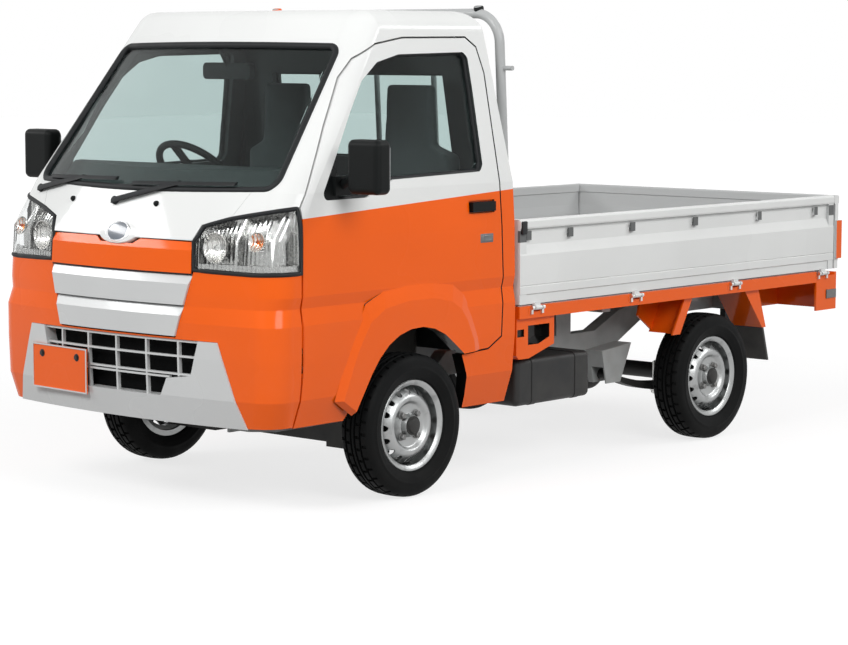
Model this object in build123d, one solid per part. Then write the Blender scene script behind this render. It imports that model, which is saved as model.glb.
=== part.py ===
"""Mini truck: tilt-free cab over the front wheels and a drop-side load bed.

Millimetres, +Z up, the truck faces -Y and its left side is +X.
Lengths along the truck are given from the front axle and placed by at().
"""
import math
import os

from build123d import *

# Main sizes
WHEELBASE = 1900.0
FRONT_OVERHANG = 825.0
REAR_OVERHANG = 945.0
TRACK = 1305.0
HALF_WIDTH = 730.0
BED_HALF = 735.0
ROOF_Z = 1780.0
WALL = 50.0
PANEL = 45.0
CORNER_LEAST = 15.0
DOOR_GAP = 6.5
SEAM = 1.0

LENGTH = FRONT_OVERHANG + WHEELBASE + REAR_OVERHANG
FRONT_AXLE_Y = FRONT_OVERHANG - LENGTH / 2

# Wheels
TYRE_RADIUS = 266.0
VENT_COUNT = 12
VENT_RING = 122.0
VENT_RADIUS = 12.0
SPINDLE_RADIUS = 20.0
RUN_FIT = 0.05
WHEEL_X = TRACK / 2
KINGPIN_X = 550.0

# Cab levels and lines
BELT_Z = 1140.0
HEADER_Z = 1652.0
DOOR_TOP_Z = 1680.0
CAB_BACK = 562.0
FLOOR_Z = 370.0
RISER_Z = 700.0
BUMPER_TOP_Z = 862.0
NOSE_SEAM_Z = 970.0
DOOR_FRONT = -592.0
DOOR_IN = 592.0
DOOR_SKIN = 20.0
DOOR_STEP = 6.0
DOOR_HINGES = [560.0, 930.0]
DOOR_AXIS_X = 715.0
DOOR_AXIS_Y = -575.0
DOOR_PIN = 5.0
DOOR_BARREL = 8.0
DOOR_SWING = 20.5
DOOR_CLEAR = 8.5
ARCH_Z = 345.0
ARCH_RADIUS = 287.0

# Load bed levels
BED_FRONT = 585.0
BED_REAR = WHEELBASE + REAR_OVERHANG - 50.0
DECK_Z = 662.0
DECK_RIB = 6.0
RIB_FRONT = BED_FRONT + 75
GATE_LOW_Z = 667.0
GATE_TOP_Z = 993.0
GATE_THICK = 32.0
SILL_LOW_Z = 612.0
HINGE_Z = 652.0
HINGE_OUT = 6.0
HINGE_PIN = 5.0
HINGE_BARREL = 9.0

# Frame
RAIL_IN = 360.0
RAIL_OUT = 420.0
SPRING_X = 470.0
SPRING_HALF = 25.0

# Cab plan sections: level, half width, nose tip, corner x, corner y, side start, back
CAB_SECTIONS = [
    (300.0, HALF_WIDTH - 40, 35 - FRONT_OVERHANG, 618.0, -735.0, -615.0, CAB_BACK - 17),
    (420.0, HALF_WIDTH - 6, 13 - FRONT_OVERHANG, 645.0, -755.0, -638.0, CAB_BACK - 10),
    (560.0, HALF_WIDTH, 8 - FRONT_OVERHANG, 648.0, -757.0, -642.0, CAB_BACK - 2),
    (682.0, HALF_WIDTH, 8 - FRONT_OVERHANG, 648.0, -757.0, -642.0, CAB_BACK),
    (742.0, HALF_WIDTH - 11, 10 - FRONT_OVERHANG, 636.0, -744.0, -626.0, CAB_BACK),
    (782.0, HALF_WIDTH - 2, 11 - FRONT_OVERHANG, 640.0, -742.0, -624.0, CAB_BACK),
    (975.0, HALF_WIDTH - 3, 23 - FRONT_OVERHANG, 640.0, -728.0, -610.0, CAB_BACK - 2),
    (BELT_Z, HALF_WIDTH - 10, 90 - FRONT_OVERHANG, 606.0, -636.0, -528.0, CAB_BACK - 6),
    (ROOF_Z, HALF_WIDTH - 108, 623 - FRONT_OVERHANG, 520.0, -142.0, -40.0, CAB_BACK - 92),
]

# Outlines in side view: along, level
DOOR_LOW = [(-361.0, 322.0), (-256.0, 484.0)]
DOOR_REAR = [(251.0, 512.0), (405.0, 520.0), (478.0, 560.0), (490.0, 763.0), (474.0, 1165.0), (455.0, 1550.0)]
DOOR_UP = [(425.0, 1645.0), (370.0, DOOR_TOP_Z), (20.0, DOOR_TOP_Z - 3), (-128.0, 1654.0), (-232.0, 1602.0),
           (-297.0, 1536.0), (-412.0, 1367.0), (-518.0, 1200.0)]
DOOR_LEAD = [(DOOR_FRONT + 4, 1090.0), (DOOR_FRONT, 870.0), (DOOR_FRONT - 4, 480.0), (DOOR_FRONT - 20, 322.0)]
WINDOW = [(-500.0, 1112.0), (-260.0, 1114.0), (-110.0, 1172.0), (372.0, 1184.0), (390.0, 1210.0), (380.0, 1490.0),
          (372.0, 1608.0), (350.0, 1628.0), (-10.0, 1620.0), (-130.0, 1592.0), (-222.0, 1526.0), (-303.0, 1412.0),
          (-411.0, 1244.0)]
FLARE_OUT = [(-436.0, 400.0), (-358.0, 589.0), (-273.0, 735.0), (-175.0, 776.0), (-44.0, 796.0), (91.0, 794.0),
             (206.0, 771.0), (264.0, 733.0), (312.0, 661.0), (354.0, 565.0), (360.0, 516.0)]
FLARE_IN = [(-404.0, 400.0), (-326.0, 572.0), (-262.0, 668.0), (-186.0, 712.0), (-60.0, 732.0), (80.0, 731.0),
            (183.0, 712.0), (235.0, 680.0), (272.0, 630.0), (306.0, 560.0), (314.0, 516.0)]
FLARE_RISE = 13.0

# Outlines in front view, one half: across, level
LAMP = [(377.0, 869.0), (372.0, 967.0), (383.0, 984.0), (400.0, 1024.0), (494.0, 1051.0), (560.0, 1064.0),
        (700.0, 1089.0), (780.0, 1102.0), (780.0, 866.0), (621.0, 863.0)]
STRIP = [(372.0, 857.0), (369.0, 966.0), (120.0, 970.0), (85.0, 950.0)]
GARNISH = [(374.0, 851.0), (306.0, 634.0)]
GARNISH_BARS = [
    # top, shoulder, low edge
    (849.0, 820.0, 745.0),
    (740.0, 707.0, 634.0),
]
STRIP_SHOULDER_Z = 938.0
SKIRT = [(495.0, 622.0), (604.0, 322.0)]
GRILLE = [(412.0, 622.0), (376.0, 497.0), (262.0, 482.0), (231.0, 418.0)]


def at(y):
    """Row-frame Y of a place given from the front axle."""
    return FRONT_AXLE_Y + y


def box(x0, x1, y0, y1, z0, z1):
    """Box between limits, y from the front axle."""
    return Pos((x0 + x1) / 2, at((y0 + y1) / 2), (z0 + z1) / 2) * Box(abs(x1 - x0), abs(y1 - y0), abs(z1 - z0))


def side_prism(points, x0, x1):
    """Outline in side view carried from x0 to x1."""
    face = make_face(Polyline(*[(at(y), z) for y, z in points], close=True))
    return Pos(x0, 0, 0) * extrude(Plane.YZ * face, x1 - x0)


def front_prism(points, y0, y1):
    """Outline in front view carried from y0 to y1."""
    plane = Plane(origin=(0, at(y1), 0), x_dir=(1, 0, 0), z_dir=(0, -1, 0))
    return extrude(plane * make_face(Polyline(*points, close=True)), y1 - y0)


def cross_prism(points, y0, y1):
    """Cross section (x, z) carried along the truck."""
    return front_prism(points, y0, y1)


def rod(start, end, radius):
    """Round bar between two points, y from the front axle."""
    a, b = Vector(start[0], at(start[1]), start[2]), Vector(end[0], at(end[1]), end[2])
    plane = Plane(origin=a, z_dir=(b - a).normalized())
    return extrude(plane * Circle(radius), (b - a).length)


def axle_ring(points, x, y, z):
    """Profile (offset from x, radius) turned about a crosswise axis."""
    face = make_face(Polyline(*[(dx, r) for dx, r in points], close=True))
    solid = revolve(Plane.XY * face, Axis.X, 360)
    return Pos(x, at(y), z) * solid


def mirrored(shape):
    return mirror(shape, about=Plane.YZ)


def both(half):
    """Full outline from a right half given from the axis outwards."""
    return list(half) + [(-x, z) for x, z in reversed(half)]


def along(line, z, out=0.0):
    """Point at a level on the straight line through two points, moved out."""
    (x0, z0), (x1, z1) = line
    return (x0 + (x1 - x0) * (z - z0) / (z1 - z0) + out, z)


def pair(shape):
    """A left solid and its right twin in one node."""
    return Compound(children=[only(shape), only(mirrored(shape))])


def only(shape):
    """The largest solid of a result."""
    return sorted(shape.solids(), key=lambda s: s.volume)[-1]


def save(shape, name):
    shape.label = name
    export_step(shape, "parts/" + name + ".step")


# Cab body
def cab_section(row, inset, z):
    _, half, nose, corner_x, corner_y, side, back = row
    sag = corner_y - nose
    radius = (corner_x ** 2 + sag ** 2) / (2 * sag)
    sin, cos = corner_x / radius, (radius - sag) / radius
    centre = nose + radius
    nose, half, back = nose + inset, half - inset, back - inset
    corner_x = min(corner_x - inset * sin, half - CORNER_LEAST)
    corner_y = centre - math.sqrt((radius - inset) ** 2 - corner_x ** 2)
    knee_y = corner_y + (half - corner_x) / cos * sin
    mid = (0.25 * corner_x + 0.75 * half, 0.25 * corner_y + 0.5 * knee_y + 0.25 * side)
    edges = [
        Line((half, back), (half, side)),
        ThreePointArc((half, side), mid, (corner_x, corner_y)),
        ThreePointArc((corner_x, corner_y), (0, nose), (-corner_x, corner_y)),
        ThreePointArc((-corner_x, corner_y), (-mid[0], mid[1]), (-half, side)),
        Line((-half, side), (-half, back)),
        Line((-half, back), (half, back)),
    ]
    return Pos(0, FRONT_AXLE_Y, z) * make_face(edges)


def cab_body(inset=0.0, drop=0.0, round_top=0.0):
    """Cab as a full solid, each face moved in by inset, the roof let down by drop."""
    faces = []
    for row in CAB_SECTIONS:
        z = row[0]
        if row is CAB_SECTIONS[-1]:
            z -= drop
        if row is CAB_SECTIONS[0] and inset > 0:
            z -= 60
        faces.append(cab_section(row, inset, z))
    body = loft(faces, ruled=True)
    if round_top:
        body = fillet(body.faces().sort_by(Axis.Z)[-1].edges(), round_top)
    return body


def level_row(z):
    """Plan section at any level, between the rows of the table."""
    for low, top in zip(CAB_SECTIONS, CAB_SECTIONS[1:]):
        if low[0] <= z <= top[0]:
            share = (z - low[0]) / (top[0] - low[0])
            return tuple(a + (b - a) * share for a, b in zip(low, top))
    return CAB_SECTIONS[0]


def nose_y(x, z):
    """Place along the truck of the nose's outer face."""
    _, _, nose, corner_x, corner_y, _, _ = level_row(z)
    sag = corner_y - nose
    radius = (corner_x ** 2 + sag ** 2) / (2 * sag)
    return nose + radius - math.sqrt(radius ** 2 - x ** 2)


def cab_layer(levels):
    """Cab shape between levels, each with its own rise off the body: level, rise."""
    return loft([cab_section(level_row(z), -rise, z) for z, rise in levels], ruled=True)


OUTER = cab_body(round_top=90)
INNER = cab_body(WALL, 40, 50)
BACKED = cab_body(PANEL)
SHELL = OUTER - INNER
SKIN = OUTER - BACKED


def arch_points(grow=0.0, steps=9):
    """Arch over the front wheel between the two door ends."""
    start = math.atan2(DOOR_LOW[-1][1] - ARCH_Z, DOOR_LOW[-1][0])
    end = math.atan2(DOOR_REAR[0][1] - ARCH_Z, DOOR_REAR[0][0])
    radius = ARCH_RADIUS + grow
    return [(radius * math.cos(start + (end - start) * i / steps), ARCH_Z + radius * math.sin(start + (end - start) * i / steps))
            for i in range(1, steps)]


def door_outline():
    points = list(DOOR_LOW) + arch_points() + DOOR_REAR + DOOR_UP + DOOR_LEAD
    return make_face(Polyline(*[(at(y), z) for y, z in points], close=True))


def side_face(face, x0, x1):
    return Pos(x0, 0, 0) * extrude(Plane.YZ * face, x1 - x0)


def rounded(face, radius):
    """Outline with its outer corners rounded."""
    return offset(offset(face, -radius, kind=Kind.INTERSECTION), radius)


DOOR_FACE = door_outline()
WINDOW_FACE = rounded(make_face(Polyline(*[(at(y), z) for y, z in WINDOW], close=True)), 22)
DOOR_CUT = side_face(offset(DOOR_FACE, DOOR_GAP, kind=Kind.INTERSECTION), DOOR_IN - DOOR_GAP - 1, 900)
DOOR_KEEP = side_face(DOOR_FACE, DOOR_IN, 900)
ARCH_CUT = side_prism([(-361 - 80, 200.0), (-361, 322.0), (-256, 484.0)] + arch_points()
                      + [(251.0, 512.0), (284.0, 430.0), (296.0, 345.0), (298.0, 200.0)], 420, 900)
SCREEN = [(622.0, 1150.0), (564.0, 1646.0)]


def screen_prism(shrink=0.0):
    low, top = SCREEN
    outline = [
        Line((low[0] - shrink, low[1] + shrink), (top[0] - shrink, top[1] - shrink)),
        ThreePointArc((top[0] - shrink, top[1] - shrink), (0, top[1] + 6 - shrink), (shrink - top[0], top[1] - shrink)),
        Line((shrink - top[0], top[1] - shrink), (shrink - low[0], low[1] + shrink)),
        ThreePointArc((shrink - low[0], low[1] + shrink), (0, BELT_Z + shrink), (low[0] - shrink, low[1] + shrink)),
    ]
    plane = Plane(origin=(0, at(100), 0), x_dir=(1, 0, 0), z_dir=(0, -1, 0))
    return extrude(plane * fillet(make_face(outline).vertices(), 40), 1000)


SCREEN_CUT = screen_prism()
ROOF_ZONE = side_prism([(-900, HEADER_Z), (-150, HEADER_Z), (-20, DOOR_TOP_Z - 60), (380, DOOR_TOP_Z - 60), (440, 1560),
                        (700, 1560), (700, 1900), (-900, 1900)], -900, 900)
LAMP_CUT = front_prism(LAMP, -900, DOOR_FRONT - 4)
NOSE_SIDE = [(500.0, 1040.0), (503.0, 1062.0), (545.0, BELT_Z + 14), (600.0, BELT_Z + 60)]


def make_roof():
    return only((SHELL & ROOF_ZONE) - DOOR_CUT - mirrored(DOOR_CUT) - SCREEN_CUT)


def make_a_pillar():
    zone = front_prism([(400, 990)] + NOSE_SIDE + [(400, BELT_Z + 60), (400, 1800), (800, 1800), (800, 990)], -900, 100)
    body = (SHELL & zone) - DOOR_CUT - SCREEN_CUT - ROOF_ZONE - LAMP_CUT
    body = body - box(0, 900, DOOR_FRONT - 10, 200, 200, 1060)
    return only(body)


def make_b_pillar():
    zone = box(590, 900, 200, 800, 250, 1900)
    return only((SHELL & zone) - DOOR_CUT - ROOF_ZONE - ARCH_CUT)


def make_cab_back():
    window = front_prism([(470, 1215), (455, 1545), (-455, 1545), (-470, 1215)], 300, 700)
    zone = box(-590 + SEAM / 2, 590 - SEAM / 2, 300, 800, 480, 1900)
    return only((SHELL & zone) - ROOF_ZONE - window - DOOR_CUT - mirrored(DOOR_CUT))


def make_cab_glass():
    thick = cab_body(8) - cab_body(14)
    screen = only(thick & screen_prism(0.3))
    window = front_prism([(469.7, 1215.3), (454.7, 1544.7), (-454.7, 1544.7), (-469.7, 1215.3)], 300, 700)
    rear = only((cab_body(20) - cab_body(26)) & window)
    return Compound(children=[screen, rear])


def make_nose_panel():
    upper = front_prism(both([(368.0, NOSE_SEAM_Z + 2), (388.0, 1027.0)] + [(x - SEAM, z) for x, z in NOSE_SIDE[:3]]), -900, -300)
    upper = (SHELL & upper) - SCREEN_CUT - LAMP_CUT - mirrored(LAMP_CUT)
    behind = cab_body(80) - cab_body(105)
    inner = behind & box(-900, 900, -900, DOOR_AXIS_Y + 20, 345, 1110)
    shelf = (cab_body(46) - cab_body(105)) & (box(-900, 900, -900, DOOR_FRONT - 30, 846, 880) + box(-480, 480, -900, DOOR_FRONT - 30, 984, 1016))
    return only(upper + inner + shelf)


def make_headlamp():
    return only(SKIN & front_prism([(x + SEAM, z) for x, z in LAMP], -900, DOOR_FRONT - DOOR_CLEAR))


def raised_panel(points, rise, y_end=-500.0):
    return (cab_body(-rise) - BACKED) & front_prism(points, -900, y_end)


def make_nose_strip():
    """Band between the lamps, its top edge sloped back."""
    layer = cab_layer([(STRIP[0][1] - 2, 6), (STRIP_SHOULDER_Z, 6), (STRIP[2][1] + 4, -8)])
    return only((layer - BACKED) & front_prism(both(STRIP), -900, -500))


def make_grille_bars():
    """Two bars with sloped top edges on a set-back plate."""
    total = (cab_body(28) - BACKED) & front_prism(both([GARNISH[1], GARNISH[0]]), -900, -500)
    for top, shoulder, low in GARNISH_BARS:
        layer = cab_layer([(low - 2, 8), (shoulder, 8), (top + 2, -6)])
        bar = (layer - BACKED) & front_prism(both([along(GARNISH, low), along(GARNISH, top)]), -900, -500)
        total = total + bar
    return only(total)


def make_bumper():
    zone = box(-900, 900, -900, DOOR_FRONT + 30, 326, BUMPER_TOP_Z)
    cut = front_prism(both([along(GARNISH, z, SEAM) for z in (GARNISH[1][1] - 6, BUMPER_TOP_Z + 10)]), -900, -500)
    skirt = front_prism(both([along(SKIRT, z, SEAM) for z in (SKIRT[0][1] + SEAM, SKIRT[1][1] - 9)]), -900, -500)
    top = cab_layer([(row[0], 1) for row in CAB_SECTIONS[:6]] + [(BUMPER_TOP_Z - 32, 1), (BUMPER_TOP_Z + 2, -11)])
    room = Pos(0, DOOR_GAP - DOOR_CLEAR, 0) * DOOR_CUT
    return only((SKIN & zone & top) - cut - skirt - DOOR_CUT - mirrored(DOOR_CUT) - room - mirrored(room))


def make_bumper_skirt():
    surround = raised_panel(both(SKIRT), 5) - front_prism(both(GRILLE), -900, -500)
    mesh = cab_body(6) - cab_body(20)
    bars = None
    for z, thick, reach in ((617.0, 8.0, 420.0), (562.0, 7.0, 398.0), (498.0, 7.0, 378.0), (486.0, 7.0, 264.0)):
        bar = mesh & front_prism(both([(reach, z - thick / 2), (reach, z + thick / 2)]), -900, -500)
        bars = bar if bars is None else bars + bar
    for x, low in ((0.0, 410.0), (-155.0, 410.0), (155.0, 410.0), (-310.0, 490.0), (310.0, 490.0)):
        bars = bars + (mesh & front_prism([(x - 4, low), (x + 4, low), (x + 4, 620.0), (x - 4, 620.0)], -900, -500))
    return only(surround + bars)


def make_radiator():
    return only((cab_body(PANEL + SEAM) - cab_body(79)) & front_prism(both([(425.0, 408.0), (425.0, 640.0)]), -900, -500))


def make_number_plate():
    slant = 4.2
    place = Pos(-311, at(-810.5), 470) * Rot(0, 0, -slant)
    plate = place * Box(330, 4, 165)
    pad = place * (Pos(0, 18, 0) * Box(240, 34, 90))
    return only((plate + pad) - cab_body(-5.2))


# Doors
def make_door():
    step = cab_body(DOOR_SKIN)
    body = ((OUTER - step) & DOOR_KEEP) + ((step - INNER) & side_face(offset(DOOR_FACE, -DOOR_STEP, kind=Kind.INTERSECTION), DOOR_IN, 900))
    flare = loft([Plane.YZ.offset(HALF_WIDTH - 4) * flare_face(FLARE_OUT), Plane.YZ.offset(HALF_WIDTH + FLARE_RISE) * flare_face(FLARE_IN)], ruled=True)
    flare = flare & DOOR_KEEP
    body = only(body + flare)
    body = body - side_face(WINDOW_FACE, 420, 900)
    lead = box(DOOR_AXIS_X, 900, -700, DOOR_AXIS_Y, 500, 1100) - upright(DOOR_AXIS_X, DOOR_AXIS_Y, 800, 400, DOOR_SWING)
    body = body - lead
    body = body - box(HALF_WIDTH - 18, 900, 296, 444, 1030, 1078)
    for z in DOOR_HINGES:
        body = body - box(HALF_WIDTH - WALL - 20, DOOR_AXIS_X + 9.5, DOOR_FRONT - 40, DOOR_AXIS_Y + 26, z - 44, z + 44)
        strap = box(DOOR_AXIS_X - 5, DOOR_AXIS_X + 5, DOOR_AXIS_Y, DOOR_AXIS_Y + 28, z - 16, z + 16)
        body = body + strap + upright(DOOR_AXIS_X, DOOR_AXIS_Y, z, 16, DOOR_BARREL)
        body = body - upright(DOOR_AXIS_X, DOOR_AXIS_Y, z, 40, DOOR_PIN + RUN_FIT)
    return only(body)


def upright(x, y, z, half, radius):
    return Pos(x, at(y), z) * Cylinder(radius, half * 2)


def make_door_hinges():
    units = []
    for side in (1, -1):
        for z in DOOR_HINGES:
            unit = upright(side * DOOR_AXIS_X, DOOR_AXIS_Y, z, 34, DOOR_PIN)
            for level in (-28, 28):
                unit = unit + box(side * (HALF_WIDTH - 80), side * DOOR_AXIS_X, DOOR_AXIS_Y - 7, DOOR_AXIS_Y + 7, z + level - 6, z + level + 6)
                unit = unit + upright(side * DOOR_AXIS_X, DOOR_AXIS_Y, z + level, 6, DOOR_BARREL)
            units.append(only(unit))
    return Compound(children=units)


def flare_face(points):
    low = [(points[-1][0] - 90, points[-1][1] - 60), (points[0][0] + 90, points[0][1] - 60)]
    return make_face(Polyline(*[(at(y), z) for y, z in list(points) + low], close=True))


def make_door_glass():
    shrunk = offset(WINDOW_FACE, -0.3)
    return only((cab_body(20) - cab_body(26)) & side_face(shrunk, 420, 900))


def make_door_fittings():
    sail = (cab_body(1) - cab_body(19)) & side_prism([(-498, 1114), (-405, 1114.5), (-405, 1240), (-412, 1240)], 420, 900)
    sail = sail & side_face(offset(WINDOW_FACE, -0.3), 420, 900)
    foot = box(705, 732, -432, -350, 1128, 1196)
    arm = rod((718, -390, 1160), (812, -404, 1205), 16)
    head = Pos(868, at(-408), 1232) * fillet(Box(150, 78, 190).edges(), 22)
    mirror_unit = only(sail + foot + arm + head)
    handle = only(box(HALF_WIDTH - 17.5, HALF_WIDTH + 8, 304, 436, 1036, 1072) - box(HALF_WIDTH - 30, HALF_WIDTH - 4, 322, 418, 1000, 1060))
    return [mirror_unit, handle]


# Cab inside
def make_cab_floor():
    half = HALF_WIDTH - WALL - 8
    low, top, back = FLOOR_Z - 25, RISER_Z, CAB_BACK - WALL - 0.5
    floor = side_prism([(-690, low), (-690, FLOOR_Z), (-370, FLOOR_Z), (-370, top), (back, top), (back, top - 25), (-345, top - 25), (-345, low)], -half, half)
    floor = floor & (cab_body(106) + (cab_body(WALL + 8) & box(-900, 900, -520, 900, 0, 900)) + box(-half, half, 0, back, top - 30, top))
    for side in (1, -1):
        wall = box(side * 395, side * 410, -350, 345, 362, top - 10)
        boss = Pos(side * KINGPIN_X, at(0), top - 44) * Cylinder(46, 60)
        floor = floor + wall + boss
    for side in (1, -1):
        floor = floor - Pos(side * KINGPIN_X, at(0), top - 60) * Cylinder(24 + RUN_FIT, 60)
    return only(floor)


def make_dashboard():
    profile = [(-800, 1136), (-560, 1206), (-440, 1216), (-405, 1170), (-425, 960), (-470, 780), (-560, 760), (-800, 760)]
    return only(side_prism(profile, -700, 700) & cab_body(WALL + 56) + (side_prism([(-640, 1150), (-520, 1206), (-430, 1248), (-400, 1190), (-430, 1100)], -480, -180) & cab_body(WALL + 56)))


STEER_HUB = (-330.0, -80.0, 1150.0)
STEER_DIR = (0.0, math.sin(math.radians(45)), math.cos(math.radians(45)))


def along_column(t):
    return tuple(h + d * t for h, d in zip(STEER_HUB, STEER_DIR))


def make_steering_column():
    shroud = rod(along_column(-560), along_column(-70), 36)
    shaft = rod(along_column(-80), along_column(10), 11)
    column = shroud + shaft
    return only(column - make_dashboard())


def make_steering_wheel():
    plane = Plane(origin=(STEER_HUB[0], at(STEER_HUB[1]), STEER_HUB[2]), x_dir=(1, 0, 0), z_dir=STEER_DIR)
    ring = plane * Torus(178, 14)
    hub = plane * (Pos(0, 0, -18) * Cylinder(52, 44))
    wheel = ring + hub
    for angle in (0, 180, 270):
        spoke = plane * (Rot(0, 0, angle) * (Pos(104, 0, -8) * Box(150, 34, 14)))
        wheel = wheel + spoke
    return only(wheel - rod(along_column(-60), along_column(12), 11 + RUN_FIT))


def make_seats():
    cushion = fillet(box(95, 565, -150, 370, RISER_Z, RISER_Z + 125).edges().filter_by(Axis.Z), 50)
    cushion = fillet(cushion.faces().sort_by(Axis.Z)[-1].edges(), 30)
    back_profile = [(371, RISER_Z), (505, RISER_Z), (498, RISER_Z + 127), (444, 1520), (434, 1540), (392, 1540), (372, 1500), (372, 1290), (345, 1200), (360, RISER_Z + 200), (371, RISER_Z + 126)]
    low = side_prism(back_profile, 110, 550) & box(100, 560, 200, 600, RISER_Z, 1262)
    high = side_prism(back_profile, 190, 470) & box(100, 560, 200, 600, 1200, 1560)
    back = fillet((low + high).edges().filter_by(Axis.X), 10)
    return cushion, back


def make_inner_mirror():
    glass = Pos(-15, at(-222), 1556) * fillet(Box(250, 26, 62).edges().filter_by(Axis.Y), 18)
    stem = rod((-15, -226, 1570), (-15, -280, HEADER_Z + 10), 8)
    return only(glass + (stem - box(-100, 100, -400, 0, HEADER_Z, HEADER_Z + 60)))


WIPERS = [
    # pivot x, pivot z, elbow x, elbow z, blade start x, blade end x
    (-572.0, 1118.0, -300.0, 1172.0, -520.0, -90.0),
    (-55.0, 1096.0, 230.0, 1168.0, 10.0, 470.0),
]


def make_wipers():
    units = []
    for px, pz, ex, ez, bx0, bx1 in WIPERS:
        py = nose_y(px, pz)
        layer = cab_body(-16) - cab_body(-6)
        blade = layer & front_prism([(bx0, ez - 12), (bx1, ez - 4), (bx1, ez + 6), (bx0, ez - 2)], -900, -300)
        arm = layer & front_prism([(px - 8, pz - 8), (ex, ez - 8), (ex, ez + 4), (px - 8, pz + 8)], -900, -300)
        knob = rod((px, py - 12, pz + 2), (px, py + 12, pz - 8), 13)
        units.append(only(blade + arm + (knob - cab_body(-0.3))))
    return Compound(children=units)


# Chassis
RAIL_TOP = [(-560, 340), (360, 340), (520, 470), (1460, 474), (1623, 546), (1790, 584), (BED_REAR - 10, 584)]
RAIL_LOW = [(BED_REAR - 10, 505), (1800, 505), (1590, 400), (1400, 378), (540, 378), (400, 260), (-420, 260), (-560, 276)]
CROSS_MEMBERS = [
    # along from, to, level from, to
    (-550, -500, 280, 335),
    (900, 950, 395, 465),
    (1380, 1430, 395, 465),
    (2250, 2300, 515, 580),
    (2700, 2760, 515, 580),
]
BODY_MOUNTS = [(640.0, 700.0), (1205.0, 1300.0)]


def make_frame():
    rail = side_prism(RAIL_TOP + RAIL_LOW, RAIL_IN, RAIL_OUT)
    for y0, y1 in BODY_MOUNTS:
        rail = rail + box(RAIL_IN, RAIL_OUT, y0, y1, 460, 585)
    front_hanger = side_prism([(1400, 400), (1430, 262), (1526, 262), (1600, 420)], RAIL_OUT - 5, SPRING_X + SPRING_HALF + 12)
    front_hanger = front_hanger - box(SPRING_X - SPRING_HALF - 6, SPRING_X + SPRING_HALF + 6, 1380, 1620, 200, 330)
    rear_hanger = box(RAIL_OUT - 5, SPRING_X + SPRING_HALF + 12, 2310, 2370, 505, 560)
    rail = rail + front_hanger + rear_hanger
    eye = side_prism([(-550, 280), (-630, 280), (-630, 334), (-550, 338)], 384, 396)
    eye = eye - Pos(390, at(-604), 306) * Rot(0, 90, 0) * Cylinder(15, 40)
    tow = side_prism([(BED_REAR - 14, 507), (BED_REAR + 20, 470), (BED_REAR + 20, 430), (BED_REAR - 45, 430), (BED_REAR - 60, 507)], -396, -384)
    tow = tow - Pos(-390, at(BED_REAR - 12), 462) * Rot(0, 90, 0) * Cylinder(15, 40)
    members = [only(box(-RAIL_IN, RAIL_IN, y0, y1, z0, z1)) for y0, y1, z0, z1 in CROSS_MEMBERS]
    return Compound(children=[only(rail + eye), only(mirrored(rail) + tow)] + members)


def make_front_suspension():
    beam = box(-RAIL_OUT + 10, RAIL_OUT - 10, -40, 40, 170, 259.5)
    for side in (1, -1):
        arm = box(side * 300, side * KINGPIN_X, -32, 32, 150, 182)
        ball = Pos(side * KINGPIN_X, at(0), 166) * Cylinder(32, 32)
        pin = Pos(side * KINGPIN_X, at(0), 200) * Cylinder(12, 60)
        beam = beam + arm + ball + pin
    return only(beam)


def make_knuckle():
    spindle = rod((560, 0, TYRE_RADIUS), (WHEEL_X + 34, 0, TYRE_RADIUS), SPINDLE_RADIUS)
    plate = rod((602, 0, TYRE_RADIUS), (616, 0, TYRE_RADIUS), 100)
    upright = box(KINGPIN_X - 26, 604, -36, 36, 188, 360)
    strut = Pos(KINGPIN_X, at(0), 505) * Cylinder(24, 310)
    arm = box(KINGPIN_X - 26, KINGPIN_X + 6, 30, 140, 236, 262)
    knuckle = spindle + plate + upright + strut + arm
    return only(knuckle - Pos(KINGPIN_X, at(0), 206) * Cylinder(12 + RUN_FIT, 60))


def make_rear_axle():
    tube = rod((-600, WHEELBASE, TYRE_RADIUS), (600, WHEELBASE, TYRE_RADIUS), 34)
    diff = fillet(rod((-75, WHEELBASE, TYRE_RADIUS), (75, WHEELBASE, TYRE_RADIUS), 112).edges(), 24)
    nose = rod((0, WHEELBASE - 150, TYRE_RADIUS + 8), (0, WHEELBASE - 60, TYRE_RADIUS + 4), 46)
    axle = tube + diff + nose
    for side in (1, -1):
        drum = rod((side * 590, WHEELBASE, TYRE_RADIUS), (side * 628, WHEELBASE, TYRE_RADIUS), 112)
        spindle = rod((side * 590, WHEELBASE, TYRE_RADIUS), (side * (WHEEL_X + 34), WHEELBASE, TYRE_RADIUS), SPINDLE_RADIUS)
        axle = axle + drum + spindle
    return only(axle)


def make_leaf_spring():
    front, mid, rear = (1478.0, 288.0), (WHEELBASE, 216.0), (2340.0, 296.0)
    outer = [ThreePointArc((at(front[0]), front[1] + 14), (at(mid[0]), mid[1] + 15.5), (at(rear[0]), rear[1] + 14)),
             Line((at(rear[0]), rear[1] + 14), (at(rear[0]), rear[1] - 6)),
             ThreePointArc((at(rear[0]), rear[1] - 6), (at(mid[0]), mid[1] - 20), (at(front[0]), front[1] - 6)),
             Line((at(front[0]), front[1] - 6), (at(front[0]), front[1] + 14))]
    spring = Pos(SPRING_X - SPRING_HALF, 0, 0) * extrude(Plane.YZ * make_face(outer), SPRING_HALF * 2)
    eye = rod((SPRING_X - SPRING_HALF - 6, front[0], front[1] + 4), (SPRING_X + SPRING_HALF + 6, front[0], front[1] + 4), 22)
    shackle = box(SPRING_X - 14, SPRING_X + 14, rear[0] - 22, rear[0] + 22, rear[1] - 10, 505)
    return only(spring + eye + shackle)


def make_engine():
    block = fillet(box(-300, 300, 60, 490, 215, 610).edges(), 14)
    gearbox = box(-130, 130, 480, 800, 262, 455)
    mount = box(-RAIL_IN, RAIL_IN, 120, 190, 285, 330)
    return only(block + gearbox + mount)


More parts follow.
